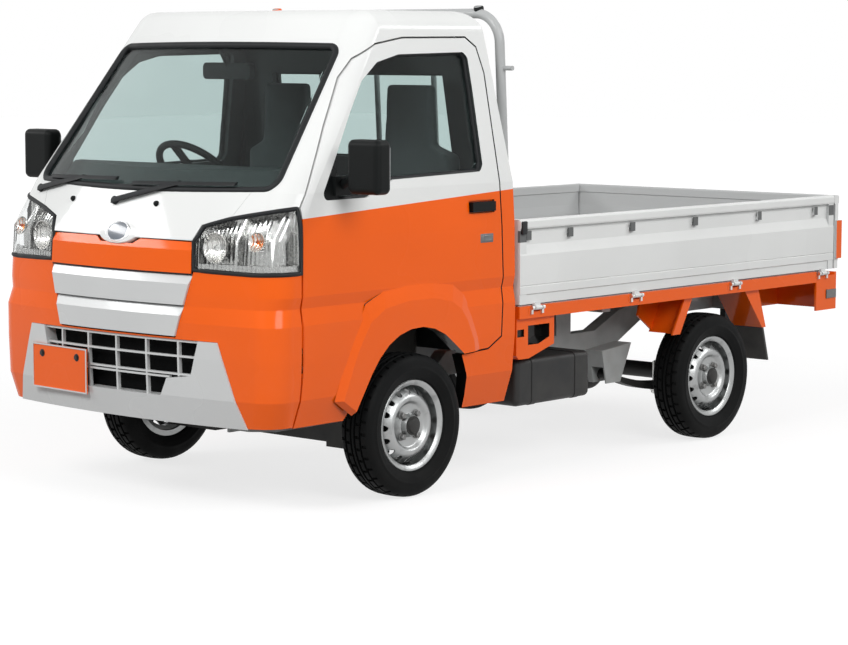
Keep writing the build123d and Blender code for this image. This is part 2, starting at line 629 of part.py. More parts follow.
def make_drive_shaft():
    return only(rod((0, 790, 359), (0, WHEELBASE - 130, TYRE_RADIUS + 8), 28) - make_engine() - make_rear_axle())


def make_exhaust():
    muffler = fillet(box(-640, -480, 980, 1400, 335, 455).edges().filter_by(Axis.Y), 40)
    bracket = box(-490, -RAIL_OUT, 1080, 1120, 400, 430)
    down = rod((-290, 440, 300), (-290, 620, 300), 20)
    across = rod((-290, 604, 300), (-540, 760, 350), 20) + rod((-540, 746, 347), (-540, 990, 390), 20)
    tail = rod((-538, 1395, 420), (-538, 2560, 420), 18)
    return only(muffler + bracket + down + across + tail - make_engine())


def make_fuel_tank():
    tank = fillet(box(445, 690, 620, 1085, 265, 448).edges(), 24)
    for y in (700.0, 980.0):
        tank = tank + box(RAIL_OUT, 460, y, y + 40, 390, 430)
    return only(tank)


# Wheels
RIM_PROFILE = [
    # offset outwards, radius
    (-52, 170), (-47, 170), (-47, 152), (-24, 150), (-18, 132), (14, 132), (22, 150), (47, 152), (47, 170), (52, 170),
    (54, 166), (54, 152), (48, 144), (46, 130), (50, 112), (51, 100), (49, 90), (42, 82), (41, 44), (44, 40), (56, 34), (58, 0),
    (52, 0), (38, 0), (38, 20), (-14, 20), (-14, 44), (34, 46), (36, 84), (43, 92), (45, 100), (44, 111), (40, 130), (26, 144), (17, 126),
    (-20, 126), (-27, 144), (-52, 146),
]
TYRE_PROFILE = [
    (-46.7, 152.3), (-46.7, 172), (-60, 176), (-70, 200), (-72, 222), (-68, 246), (-58, 260), (-46, 265), (0, 266), (46, 265), (58, 260),
    (68, 246), (72, 222), (70, 200), (60, 176), (46.7, 172), (46.7, 152.3), (34, 151.5), (36, 172), (52, 186), (62, 204), (63, 222),
    (58, 242), (44, 254), (0, 256), (-44, 254), (-58, 242), (-63, 222), (-62, 204), (-52, 186), (-36, 172), (-34, 151.5),
]


def make_rim():
    profile = [(x, SPINDLE_RADIUS + RUN_FIT if r == 20 else r) for x, r in RIM_PROFILE]
    rim = axle_ring(profile, 0, -FRONT_AXLE_Y, 0)
    vent = Rot(0, 90, 0) * Cylinder(VENT_RADIUS, 40)
    for i in range(VENT_COUNT):
        angle = 2 * math.pi * i / VENT_COUNT
        rim = rim - Pos(45, VENT_RING * math.cos(angle), VENT_RING * math.sin(angle)) * vent
    return only(rim)


def make_tyre():
    return only(axle_ring(TYRE_PROFILE, 0, -FRONT_AXLE_Y, 0))


# Load bed
GATE_SECTION = [
    # out from the inner face, level above the gate's low edge
    (0, 0), (26, 0), (26, 36), (32, 40), (32, 68), (29, 71), (32, 74), (32, 188), (17, 228), (17, 286), (32, 290), (34, 296), (34, 318),
    (28, 326), (4, 326), (-2, 320), (-2, 290), (4, 286), (4, 228), (0, 188),
]
SIDE_HOOKS = [640.0, 899.0, 1302.0, 1736.0, 2205.0, 2645.0]
SIDE_HINGES = [686.0, 1322.0, 2022.0, 2703.0]
TAIL_HINGES = [-480.0, 0.0, 480.0]
HINGE_SPAN = 36.0


def barrel(axis_dir, x, y, z, half, radius):
    turn = Rot(90, 0, 0) if axis_dir == "y" else Rot(0, 90, 0)
    return Pos(x, at(y), z) * (turn * Cylinder(radius, half * 2))


def make_side_gate():
    inner = BED_HALF - GATE_THICK
    gate = cross_prism([(inner + x, GATE_LOW_Z + z) for x, z in GATE_SECTION], BED_FRONT, BED_REAR - 5)
    for y in (BED_FRONT, BED_REAR - 45):
        gate = gate + box(inner + 4, BED_HALF - 2, y, y + 40, GATE_LOW_Z, GATE_TOP_Z - 36)
    for y in SIDE_HOOKS:
        gate = gate + box(inner + 10, BED_HALF - 1, y - 14, y + 14, GATE_TOP_Z - 80, GATE_TOP_Z - 66)
        gate = gate + box(BED_HALF - 7, BED_HALF - 1, y - 14, y + 14, GATE_TOP_Z - 80, GATE_TOP_Z - 44)
    axis_x = BED_HALF + HINGE_OUT
    for y in SIDE_HINGES:
        strap = box(inner + 10, axis_x, y - HINGE_SPAN / 2 + 2, y + HINGE_SPAN / 2 - 2, HINGE_Z + 2, GATE_LOW_Z + 4)
        gate = gate + (strap - box(0, BED_HALF - 8, y - 40, y + 40, HINGE_Z - 20, GATE_LOW_Z)) + barrel("y", axis_x, y, HINGE_Z, HINGE_SPAN / 2, HINGE_BARREL)
        gate = gate - barrel("y", axis_x, y, HINGE_Z, HINGE_SPAN, HINGE_PIN + RUN_FIT)
    return only(gate)


TAIL_IN = BED_REAR
TAIL_AXIS = REAR_OVERHANG + WHEELBASE - HINGE_BARREL


def make_tailgate():
    plane = Plane(origin=(-BED_HALF, 0, 0), x_dir=(0, 1, 0), z_dir=(1, 0, 0))
    face = make_face(Polyline(*[(at(TAIL_IN + 2 + x), GATE_LOW_Z + z) for x, z in GATE_SECTION], close=True))
    gate = extrude(plane * face, 2 * BED_HALF)
    for side in (1, -1):
        gate = gate + box(side * (BED_HALF - 40), side * BED_HALF, TAIL_IN + 6, TAIL_IN + 31, GATE_LOW_Z, GATE_TOP_Z - 36)
        lever = box(side * (BED_HALF - 1), side * (BED_HALF + 9), TAIL_IN + 6, TAIL_IN + 48, GATE_LOW_Z + 45, GATE_LOW_Z + 214)
        gate = gate + lever
    for x in TAIL_HINGES:
        strap = box(x - HINGE_SPAN / 2 + 2, x + HINGE_SPAN / 2 - 2, TAIL_IN + 26, TAIL_AXIS, HINGE_Z + 2, GATE_LOW_Z + 4)
        gate = gate + strap + barrel("x", x, TAIL_AXIS, HINGE_Z, HINGE_SPAN / 2, HINGE_BARREL)
        gate = gate - barrel("x", x, TAIL_AXIS, HINGE_Z, HINGE_SPAN, HINGE_PIN + RUN_FIT)
    return only(gate)


def make_gate_hinges():
    units = []
    reach = HINGE_SPAN / 2 + 20
    for side in (1, -1):
        axis_x = side * (BED_HALF + HINGE_OUT)
        for y in SIDE_HINGES:
            unit = barrel("y", axis_x, y, HINGE_Z, reach, HINGE_PIN)
            for end in (-1, 1):
                c = y + end * (reach - 6)
                unit = unit + box(side * (BED_HALF - 2), axis_x, c - 6, c + 6, HINGE_Z - 24, HINGE_Z + HINGE_PIN)
                unit = unit + barrel("y", axis_x, c, HINGE_Z, 6, HINGE_PIN + 3)
            units.append(only(unit))
    for x in TAIL_HINGES:
        unit = barrel("x", x, TAIL_AXIS, HINGE_Z, reach, HINGE_PIN)
        for end in (-1, 1):
            c = x + end * (reach - 6)
            unit = unit + box(c - 6, c + 6, BED_REAR + 26, TAIL_AXIS, HINGE_Z - 24, HINGE_Z + HINGE_PIN)
            unit = unit + barrel("x", c, TAIL_AXIS, HINGE_Z, 6, HINGE_PIN + 3)
        units.append(only(unit))
    return Compound(children=units)


def make_bed_floor():
    inner = BED_HALF - GATE_THICK - 7
    deck = box(-inner, inner, BED_FRONT + 15, BED_REAR - 5, DECK_Z - 22, DECK_Z - DECK_RIB)
    rib_count = 9
    pitch = 2 * inner / rib_count
    for i in range(rib_count):
        x = -inner + pitch * (i + 0.5)
        deck = deck + box(x - pitch * 0.36, x + pitch * 0.36, RIB_FRONT, BED_REAR - 5, DECK_Z - 8, DECK_Z)
    for y in (645.0, 1210.0, 1820.0, 2270.0, BED_REAR - 80):
        half = 650 if y < BED_REAR - 200 else 415
        deck = deck + box(-half, half, y, y + 55, 585, DECK_Z - 20)
    return only(deck)


def make_headboard():
    inner = BED_HALF - GATE_THICK - 7
    panel = box(-inner, inner, BED_FRONT + 15, BED_FRONT + 33, DECK_Z - DECK_RIB, GATE_TOP_Z - 30)
    panel = panel + box(-inner, inner, BED_FRONT + 8, BED_FRONT + 38, GATE_TOP_Z - 38, GATE_TOP_Z)
    lean = Plane(origin=(0, at(BED_FRONT + 46), DECK_Z + 2), x_dir=(1, 0, 0), z_dir=(0, -1, -0.06))
    reach = ROOF_Z - 6 - DECK_Z
    path = FilletPolyline((640, -DECK_RIB), (640, reach), (-640, reach), (-640, -DECK_RIB), radius=110)
    path = lean * path
    tube = sweep(Plane(origin=path @ 0, z_dir=path % 0) * Circle(19), path=path)
    frame = panel + tube
    for z, r in ((500.0, 15.0),):
        bar = lean * (Pos(0, z, 0) * Rot(0, 90, 0) * Cylinder(r, 1280))
        frame = frame + bar
    for x in (-300.0, 0.0, 300.0):
        upright = lean * (Pos(x, (500 + reach) / 2, 0) * Rot(90, 0, 0) * Cylinder(11, reach - 500))
        frame = frame + upright
    for side in (1, -1):
        pad = lean * (Pos(side * 540, reach + 11, 0) * Rot(90, 0, 0) * Cylinder(17, 34))
        peg = lean * (Pos(side * 672, 905, 0) * Rot(0, 90, 0) * Cylinder(9, 56))
        frame = frame + pad + peg
    return only(frame)


def make_bed_sill():
    section = [(650, SILL_LOW_Z), (BED_HALF - 2, SILL_LOW_Z), (BED_HALF - 2, HINGE_Z + 8), (BED_HALF - 30, HINGE_Z + 8), (BED_HALF - 30, DECK_Z - 22.5), (650, DECK_Z - 22.5)]
    sill = cross_prism(section, BED_FRONT, 2660)
    bracket = side_prism([(BED_FRONT, 470), (600, 455), (660, 455), (816, 500), (816, SILL_LOW_Z + 4), (BED_FRONT, SILL_LOW_Z + 4)], 664, 718)
    bracket = bracket - side_prism([(655, 507), (720, 507), (787, 530), (787, 582), (655, 582)], 680, 800)
    bracket = bracket - box(710, 800, 590, 632, 541, 570)
    sill = sill + bracket
    for y in SIDE_HINGES:
        sill = sill - box(BED_HALF - 15, BED_HALF, y - HINGE_SPAN / 2 - 6, y + HINGE_SPAN / 2 + 6, HINGE_Z - HINGE_BARREL - 6, 700)
    for y in (645.0, 1210.0, 1820.0, 2270.0):
        sill = sill - box(0, 650.5, y - 1, y + 56, 500, 700)
    return only(sill)


def make_rear_panel():
    back = box(-BED_HALF + 2, BED_HALF - 2, BED_REAR + 12, BED_REAR + 26, 550, HINGE_Z)
    for side in (1, -1):
        shell = box(side * 420, side * (BED_HALF - 2), 2661, BED_REAR + 26, 486, DECK_Z - 22.5)
        shell = shell - box(side * 432, side * (BED_HALF - 12), 2600, BED_REAR + 12, 470, DECK_Z - 34)
        back = back + shell
        for x in (105,):
            back = back - Pos(side * x, at(BED_REAR + 19), 602) * Rot(90, 0, 0) * Cylinder(3.5, 60)
    return only(back)


def make_tail_lamps():
    units = []
    for side in (1, -1):
        units.append(box(side * 470, side * 706, BED_REAR + 26, BED_REAR + 37, 506, 596))
        units.append(box(side * (BED_HALF - 2), side * (BED_HALF + 3), 2738, BED_REAR + 20, 538, 576))
    return Compound(children=units)


def make_mudguard():
    x0, x1, skin = 560.0, 716.0, 8.0
    front_out = [(1690, SILL_LOW_Z), (1743, SILL_LOW_Z), (1657, 465), (1604, 465)]
    front_face = [(1735, SILL_LOW_Z), (1743, SILL_LOW_Z), (1657, 465), (1649, 465)]
    front = side_prism(front_out, x1 - skin, x1) + side_prism(front_face, x0, x1)
    front = front + side_prism([(1735, SILL_LOW_Z), (1655, 475), (1560, 540), (1580, SILL_LOW_Z)], x0, x0 + skin)
    rear_out = [(2126, SILL_LOW_Z), (2230, SILL_LOW_Z), (2290, 444), (2262, 444)]
    rear_face = [(2126, SILL_LOW_Z), (2136, SILL_LOW_Z), (2272, 444), (2262, 444)]
    rear = side_prism(rear_out, x1 - skin, x1) + side_prism(rear_face, x0, x1)
    return only(front), only(rear)


def make_mud_flap():
    return side_prism([(2264, 443.5), (2276, 443.5), (2318, 298), (2306, 298)], 562, 714)


def build():
    os.makedirs("parts", exist_ok=True)
    save(make_roof(), "roof")
    save(pair(make_a_pillar()), "a_pillars")
    save(pair(make_b_pillar()), "b_pillars")
    save(make_cab_back(), "cab_back")
    save(make_cab_glass(), "cab_glass")
    save(make_nose_panel(), "nose_panel")
    save(pair(make_headlamp()), "headlamps")
    save(make_nose_strip(), "nose_strip")
    save(make_grille_bars(), "grille_bars")
    save(make_bumper(), "bumper")
    save(make_bumper_skirt(), "bumper_skirt")
    save(make_radiator(), "radiator")
    save(make_number_plate(), "number_plate")
    save(make_cab_floor(), "cab_floor")
    save(make_dashboard(), "dashboard")
    save(make_steering_column(), "steering_column")
    save(make_steering_wheel(), "steering_wheel")
    cushion, back = make_seats()
    save(pair(cushion), "seat_cushions")
    save(pair(back), "seat_backs")
    save(make_inner_mirror(), "inner_mirror")
    save(make_wipers(), "wipers")
    save(make_frame(), "frame")
    save(make_front_suspension(), "front_suspension")
    save(make_rear_axle(), "rear_axle")
    save(pair(make_leaf_spring()), "leaf_springs")
    save(make_engine(), "engine")
    save(make_drive_shaft(), "drive_shaft")
    save(make_exhaust(), "exhaust")
    save(make_fuel_tank(), "fuel_tank")
    save(make_bed_floor(), "bed_floor")
    save(make_headboard(), "headboard")
    save(pair(make_bed_sill()), "bed_sills")
    save(make_rear_panel(), "rear_panel")
    save(make_tail_lamps(), "tail_lamps")
    save(make_gate_hinges(), "gate_hinges")
    save(make_door_hinges(), "door_hinges")
    front, rear = make_mudguard()
    save(Compound(children=[front, rear, only(mirrored(front)), only(mirrored(rear))]), "mudguards")
    save(pair(make_mud_flap()), "mud_flaps")
    save(make_tailgate(), "tailgate")
    door, glass, fittings, gate, knuckle = make_door(), make_door_glass(), make_door_fittings(), make_side_gate(), make_knuckle()
    for side, turn in (("left", lambda s: s), ("right", mirrored)):
        save(only(turn(door)), "door_" + side)
        save(only(turn(glass)), "door_glass_" + side)
        save(Compound(children=[only(turn(f)) for f in fittings]), "door_fittings_" + side)
        save(only(turn(gate)), "side_gate_" + side)
        save(only(turn(knuckle)), "knuckle_" + side)
    rim, tyre = make_rim(), make_tyre()
    for end, y in (("front", 0.0), ("rear", WHEELBASE)):
        for side, turn, sign in (("left", lambda s: s, 1), ("right", mirrored, -1)):
            place = Pos(sign * WHEEL_X, at(y), TYRE_RADIUS)
            save(only(place * turn(rim)), "rim_" + end + "_" + side)
            save(only(place * turn(tyre)), "tyre_" + end + "_" + side)


build()
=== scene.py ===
"""Looks of the mini truck: paint, glass, lamps, tyres, seats and fittings around the fixed frame.

Metres, +Z up, the truck faces -Y and its left side is +X.
"""
import math

import bmesh
import bpy
from mathutils import Matrix, Vector


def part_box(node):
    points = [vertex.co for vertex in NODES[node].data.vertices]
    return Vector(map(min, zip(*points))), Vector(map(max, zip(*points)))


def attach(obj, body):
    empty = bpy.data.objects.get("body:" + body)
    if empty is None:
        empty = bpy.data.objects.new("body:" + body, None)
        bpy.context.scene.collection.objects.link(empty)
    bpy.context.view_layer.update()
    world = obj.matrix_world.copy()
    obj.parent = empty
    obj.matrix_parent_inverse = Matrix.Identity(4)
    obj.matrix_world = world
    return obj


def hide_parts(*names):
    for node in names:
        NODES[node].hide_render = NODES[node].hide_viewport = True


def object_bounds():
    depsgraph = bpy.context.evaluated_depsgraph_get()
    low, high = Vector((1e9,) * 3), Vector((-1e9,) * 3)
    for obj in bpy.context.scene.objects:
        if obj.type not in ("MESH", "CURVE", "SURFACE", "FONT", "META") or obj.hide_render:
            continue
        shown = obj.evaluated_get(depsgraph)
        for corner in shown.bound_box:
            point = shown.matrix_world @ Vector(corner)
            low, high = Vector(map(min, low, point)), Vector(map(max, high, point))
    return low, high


bl_info = {
    "name": "Mini truck looks",
    "version": (1, 0, 0),
    "blender": (4, 5, 0),
    "location": "View3D > Sidebar > Truck",
    "description": "Dresses the mini truck with paint, glass, lamps, tyres and seats",
    "category": "Object",
}

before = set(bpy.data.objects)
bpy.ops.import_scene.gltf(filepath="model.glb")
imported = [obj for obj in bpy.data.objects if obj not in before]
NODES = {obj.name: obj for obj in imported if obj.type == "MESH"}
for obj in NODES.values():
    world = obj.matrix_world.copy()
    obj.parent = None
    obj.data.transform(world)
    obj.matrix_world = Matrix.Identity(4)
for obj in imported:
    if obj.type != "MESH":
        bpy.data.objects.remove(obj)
CAD_LOW, CAD_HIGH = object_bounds()

FRONT_AXLE = -1.010
REAR_AXLE = 0.890
WHEEL_X = 0.6525
TYRE_RADIUS = 0.266
WHEELS = {
    "front_left": (WHEEL_X, FRONT_AXLE),
    "front_right": (-WHEEL_X, FRONT_AXLE),
    "rear_left": (WHEEL_X, REAR_AXLE),
    "rear_right": (-WHEEL_X, REAR_AXLE),
}
SIDES = (("left", 1), ("right", -1))
CAB_MIDDLE = (0.0, -1.05, 1.12)
BED_HALF = 0.735
BED_MIDDLE = (0.0, 0.72, 0.98)
ARCH_LEVEL = 0.345


class TruckFinish(bpy.types.PropertyGroup):
    """Colours of the truck's finishes."""

    white: bpy.props.FloatVectorProperty(
        name="White", description="Paint of the upper cab and the gates",
        subtype="COLOR", size=3, min=0, max=1, default=(0.80, 0.81, 0.80))
    orange: bpy.props.FloatVectorProperty(
        name="Orange", description="Paint of the lower cab, the sills and the mudguards",
        subtype="COLOR", size=3, min=0, max=1, default=(0.93, 0.122, 0.0012))
    silver: bpy.props.FloatVectorProperty(
        name="Silver", description="Paint of the front garnish and the skirt",
        subtype="COLOR", size=3, min=0, max=1, default=(0.62, 0.63, 0.63))
    frame_grey: bpy.props.FloatVectorProperty(
        name="Frame grey", description="Primer grey of the ladder frame",
        subtype="COLOR", size=3, min=0, max=1, default=(0.40, 0.42, 0.42))
    glass: bpy.props.FloatVectorProperty(
        name="Glass", description="Tint of the windows",
        subtype="COLOR", size=3, min=0, max=1, default=(0.66, 0.745, 0.735))
    cloth: bpy.props.FloatVectorProperty(
        name="Cloth", description="Seat cloth",
        subtype="COLOR", size=3, min=0, max=1, default=(0.055, 0.062, 0.064))


class TruckTrim(bpy.types.PropertyGroup):
    """Sizes of the fittings that are modelled here."""

    rubber_radius: bpy.props.FloatProperty(
        name="Window rubber", description="Radius of the rubber round the windows",
        unit="LENGTH", default=0.011, min=0.002, max=0.03)
    tread_depth: bpy.props.FloatProperty(
        name="Tread depth", description="Depth of the cross grooves in the tyres",
        unit="LENGTH", default=0.006, min=0.001, max=0.012)
    nut_radius: bpy.props.FloatProperty(
        name="Wheel nut", description="Radius of a wheel nut across its corners",
        unit="LENGTH", default=0.0115, min=0.005, max=0.02)
    nut_ring: bpy.props.FloatProperty(
        name="Nut ring", description="Radius of the ring on which the wheel nuts stand",
        unit="LENGTH", default=0.056, min=0.02, max=0.08)
    split_level: bpy.props.FloatProperty(
        name="Colour split", description="Level of the colour split at the front axle",
        unit="LENGTH", default=1.084, min=0.8, max=1.4)
    split_slope: bpy.props.FloatProperty(
        name="Split slope", description="Rise of the colour split along the cab",
        default=0.0512, min=-0.2, max=0.2)
    cushion_cap: bpy.props.FloatProperty(
        name="Cushion swell", description="Largest swell of a seat cushion",
        unit="LENGTH", default=0.016, min=0.0, max=0.04)


# Selection and modelling helpers
def at(across, behind, level, sign=1):
    """A point by its distance across, behind the front axle and above the ground."""
    return Vector((across * sign, FRONT_AXLE + behind, level))


def clear_selection():
    if bpy.context.object and bpy.context.object.mode != "OBJECT":
        bpy.ops.object.mode_set(mode="OBJECT")
    bpy.ops.object.select_all(action="DESELECT")


def make_active(obj):
    clear_selection()
    obj.select_set(True)
    bpy.context.view_layer.objects.active = obj


def edit(obj, mode="FACE", action="DESELECT"):
    """Opens a piece in edit mode with nothing, or everything, selected."""
    make_active(obj)
    bpy.ops.object.mode_set(mode="EDIT")
    bpy.ops.mesh.select_mode(type=mode)
    bpy.ops.mesh.select_all(action=action)


def leave():
    bpy.ops.object.mode_set(mode="OBJECT")


def pick_faces(obj, test):
    """Selects the faces whose centre and normal pass the test, in edit mode."""
    mesh = bmesh.from_edit_mesh(obj.data)
    for face in mesh.faces:
        face.select_set(bool(test(face.calc_center_median(), face.normal)))
    mesh.select_flush_mode()
    bmesh.update_edit_mesh(obj.data)


def pick_edges(obj, test):
    """Selects the edges that pass the test, in edit mode."""
    mesh = bmesh.from_edit_mesh(obj.data)
    for edge in mesh.edges:
        edge.select_set(bool(test(edge)))
    bmesh.update_edit_mesh(obj.data)


def recess(obj, test, thickness, depth):
    """Insets the faces that pass the test and moves them out, or in by a depth below zero."""
    edit(obj)
    pick_faces(obj, test)
    bpy.ops.mesh.inset(thickness=thickness, depth=depth)
    leave()


def settle(obj):
    """Puts the piece's place into its mesh."""
    make_active(obj)
    bpy.ops.object.transform_apply(location=True, rotation=True, scale=True)


def smooth(obj, degrees=35.0):
    make_active(obj)
    bpy.ops.object.shade_smooth_by_angle(angle=math.radians(degrees))


def modify(obj, kind, **values):
    """Adds a modifier with these values and applies it."""
    make_active(obj)
    mod = obj.modifiers.new(kind.title(), kind)
    for key, value in values.items():
        setattr(mod, key, value)
    bpy.ops.object.modifier_apply(modifier=mod.name)


def hand_over(obj, name, finish, body="chassis"):
    """Names a finished piece and gives it its finish and its body."""
    settle(obj)
    obj.name = name
    obj.data.name = name
    obj.data.materials.clear()
    obj.data.materials.append(FINISHES[finish])
    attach(obj, body)
    return obj


def block(centre, size, bevel=0.004, segments=3):
    """A box with rounded edges."""
    clear_selection()
    bpy.ops.mesh.primitive_cube_add(size=1, location=centre)
    obj = bpy.context.object
    obj.scale = size
    settle(obj)
    if bevel:
        edit(obj, action="SELECT")
        bpy.ops.mesh.bevel(offset=bevel, segments=segments, affect="EDGES", clamp_overlap=True)
        leave()
    smooth(obj)
    return obj


def turned(profile, centre, axis, steps=48):
    """A profile (along the axis, radius) turned about an axis through the centre."""
    clear_selection()
    bpy.ops.mesh.primitive_circle_add(
        vertices=len(profile), radius=1, fill_type="NOTHING", location=(0, 0, 0))
    obj = bpy.context.object
    axis = Vector(axis).normalized()
    side = axis.orthogonal().normalized()
    centre = Vector(centre)
    for vertex, (along, radius) in zip(obj.data.vertices, profile):
        vertex.co = centre + axis * along + side * radius
    edit(obj, "VERT", "SELECT")
    bpy.ops.mesh.spin(steps=steps, angle=2 * math.pi, center=centre, axis=axis)
    bpy.ops.mesh.select_all(action="SELECT")
    bpy.ops.mesh.remove_doubles(threshold=1e-5)
    bpy.ops.mesh.normals_make_consistent(inside=False)
    leave()
    smooth(obj)
    return obj


def bar(start, end, radius, steps=16):
    """A round bar with softened ends between two points."""
    start, end = Vector(start), Vector(end)
    reach, soft = (end - start).length, radius * 0.3
    half = [(0.0, 0.0), (0.0, radius - soft), (soft, radius)]
    section = half + [(reach - along, wide) for along, wide in reversed(half)]
    return turned(section, start, end - start, steps)


def stud(centre, axis, radius, height, sides=6):
    """A nut or bolt head: a prism with a rounded top."""
    clear_selection()
    bpy.ops.mesh.primitive_cylinder_add(vertices=sides, radius=radius, depth=height, location=(0, 0, 0))
    obj = bpy.context.object
    edit(obj)
    pick_faces(obj, lambda c, n: n.z > 0.9)
    bpy.ops.mesh.inset(thickness=radius * 0.22, depth=height * 0.12)
    bpy.ops.mesh.inset(thickness=radius * 0.25, depth=-height * 0.05)
    leave()
    obj.rotation_euler = Vector((0, 0, 1)).rotation_difference(Vector(axis)).to_euler()
    obj.location = Vector(centre) + Vector(axis).normalized() * height / 2
    settle(obj)
    smooth(obj, 30)
    return obj


def merged(pieces):
    """Joins pieces that belong together into one object."""
    clear_selection()
    for piece in pieces:
        piece.select_set(True)
    bpy.context.view_layer.objects.active = pieces[0]
    if len(pieces) > 1:
        bpy.ops.object.join()
    return bpy.context.object


def twin(obj, move=(0, 0, 0), flip=False):
    """A copy with its own mesh, moved, or mirrored across the truck."""
    copy = obj.copy()
    copy.data = obj.data.copy()
    bpy.context.scene.collection.objects.link(copy)
    copy.data.transform(Matrix.Translation(Vector(move)))
    if flip:
        copy.data.transform(Matrix.Scale(-1, 4, (1, 0, 0)))
        copy.data.flip_normals()
    return copy


def shell_of(node, test, name):
    """The faces of a CAD node that pass the test, as a new merged mesh."""
    obj = bpy.data.objects.new(name, NODES[node].data.copy())
    bpy.context.scene.collection.objects.link(obj)
    obj.data.materials.clear()
    edit(obj, action="SELECT")
    bpy.ops.mesh.remove_doubles(threshold=2e-5)
    pick_faces(obj, lambda c, n: not test(c, n))
    bpy.ops.mesh.delete(type="FACE")
    leave()
    return obj


def strip_of(node, test, cuts, sink, depth, name):
    """A strip of a node's outer skin between cutting planes, set in and thickened inwards."""
    obj = shell_of(node, test, name)
    for point, normal in cuts:
        edit(obj, action="SELECT")
        bpy.ops.mesh.bisect(plane_co=point, plane_no=normal, clear_outer=True)
        leave()
    edit(obj, action="SELECT")
    bpy.ops.transform.shrink_fatten(value=-sink)
    leave()
    modify(obj, "SOLIDIFY", thickness=depth, offset=-1)
    smooth(obj, 40)
    return obj


def rubber_round(node, test, radius, name, body="chassis", sink=0.0):
    """A rubber bead along the edge of a pane's outer face, set in by sink."""
    pane = shell_of(node, test, name)
    edit(pane, action="SELECT")
    bpy.ops.transform.shrink_fatten(value=-sink)
    edit(pane, "EDGE")
    pick_edges(pane, lambda e: len(e.link_faces) == 1)
    bpy.ops.mesh.select_all(action="INVERT")
    bpy.ops.mesh.delete(type="EDGE_FACE")
    leave()
    make_active(pane)
    bpy.ops.object.convert(target="CURVE")
    pane.data.bevel_depth = radius
    pane.data.bevel_resolution = 3
    bpy.ops.object.convert(target="MESH")
    pane = bpy.context.object
    smooth(pane, 60)
    return hand_over(pane, name, "window_rubber", body)


def on_node(node, x, z):
    """Where a line from the front meets a CAD node, and the way that face looks."""
    hit, spot, normal, _ = NODES[node].ray_cast((x, CAD_LOW.y - 1.0, z), (0, 1, 0))
    if not hit:
        raise RuntimeError("no face of %s at %.3f, %.3f" % (node, x, z))
    return spot.copy(), normal.copy()


# Shader helpers
def feed(tree, node, key, value):
    """Gives a socket a value, a colour or another node's output."""
    socket = node.inputs[key]
    if isinstance(value, bpy.types.NodeSocket):
        tree.links.new(value, socket)
    elif socket.type == "RGBA" and len(value) == 3:
        socket.default_value = (*value, 1)
    else:
        socket.default_value = value


def wire(tree, node, **sockets):
    """Feeds sockets by name; underscores stand for the spaces in a name."""
    for key, value in sockets.items():
        feed(tree, node, key.replace("_", " "), value)


def add(tree, kind, sockets=None, **settings):
    """A shader node with these settings, and its sockets fed by name or place."""
    node = tree.nodes.new("ShaderNode" + kind)
    for key, value in settings.items():
        setattr(node, key, value)
    for key, value in (sockets or {}).items():
        feed(tree, node, key, value)
    return node


def maths(tree, operation, *values):
    return add(tree, "Math", dict(enumerate(values)), operation=operation).outputs[0]


def times(tree, a, b):
    return maths(tree, "MULTIPLY", a, b)


def vectors(tree, operation, *values):
    """A vector operation's result, which is a number for a length or a dot product."""
    node = add(tree, "VectorMath", dict(enumerate(values)), operation=operation)
    return node.outputs["Value" if operation in ("LENGTH", "DOT_PRODUCT") else "Vector"]


def span(tree, source, low, high, to_low=0.0, to_high=1.0):
    """A value mapped from one range to another, and kept inside it."""
    sockets = {"Value": source, "From Min": low, "From Max": high, "To Min": to_low, "To Max": to_high}
    return add(tree, "MapRange", sockets).outputs["Result"]


def mix_colour(tree, factor, a, b):
    return add(tree, "Mix", {"Factor": factor, 6: a, 7: b}, data_type="RGBA").outputs[2]


def shaded(tree, colour, value, factor=1.0):
    """A colour made lighter or darker."""
    return add(tree, "HueSaturation", {"Color": colour, "Value": value, "Fac": factor}).outputs[0]


def object_point(tree, kind="Object"):
    return add(tree, "TexCoord").outputs[kind]


def coordinate(tree, axis, size=False):
    """An object coordinate, or its size without the sign."""
    value = add(tree, "SeparateXYZ", {0: object_point(tree)}).outputs[axis]
    return maths(tree, "ABSOLUTE", value) if size else value


def object_noise(tree, scale, detail=2.0, stretch=(1, 1, 1)):
    mapping = add(tree, "Mapping", {"Vector": object_point(tree), "Scale": stretch})
    noise = {"Vector": mapping.outputs["Vector"], "Scale": scale, "Detail": detail}
    return add(tree, "TexNoise", noise).outputs[0]


def flutes(tree, scale):
    """Upright flutes across the truck, as a height."""
    wave = {"Vector": object_point(tree), "Scale": scale}
    return add(tree, "TexWave", wave, bands_direction="X").outputs["Fac"]


def bump(tree, shader, height, strength, distance):
    bent = add(tree, "Bump", {"Height": height, "Strength": strength, "Distance": distance})
    wire(tree, shader, Normal=bent.outputs[0])


# Shared effects, each a node group
SOCKET_KINDS = {1: "Float", 3: "Vector", 4: "Color"}
PLAIN_GREY = (0.8, 0.8, 0.8, 1)
EFFECTS = {}
FINISHES = {}


def effect(name, **inputs):
    """A new group and its inputs: numbers, points (x, y, z) or colours (r, g, b, a)."""
    tree = bpy.data.node_groups.new(name, "ShaderNodeTree")
    for label, value in inputs.items():
        kind = SOCKET_KINDS[len(value) if hasattr(value, "__len__") else 1]
        socket = tree.interface.new_socket(label, in_out="INPUT", socket_type="NodeSocket" + kind)
        socket.default_value = value
    return tree, tree.nodes.new("NodeGroupInput").outputs


def effect_out(tree, **results):
    """Gives a group its outputs: one colour, the rest numbers."""
    for label in results:
        kind = "Color" if label == "Colour" else "Float"
        tree.interface.new_socket(label, in_out="OUTPUT", socket_type="NodeSocket" + kind)
    wire(tree, tree.nodes.new("NodeGroupOutput"), **results)
    return tree


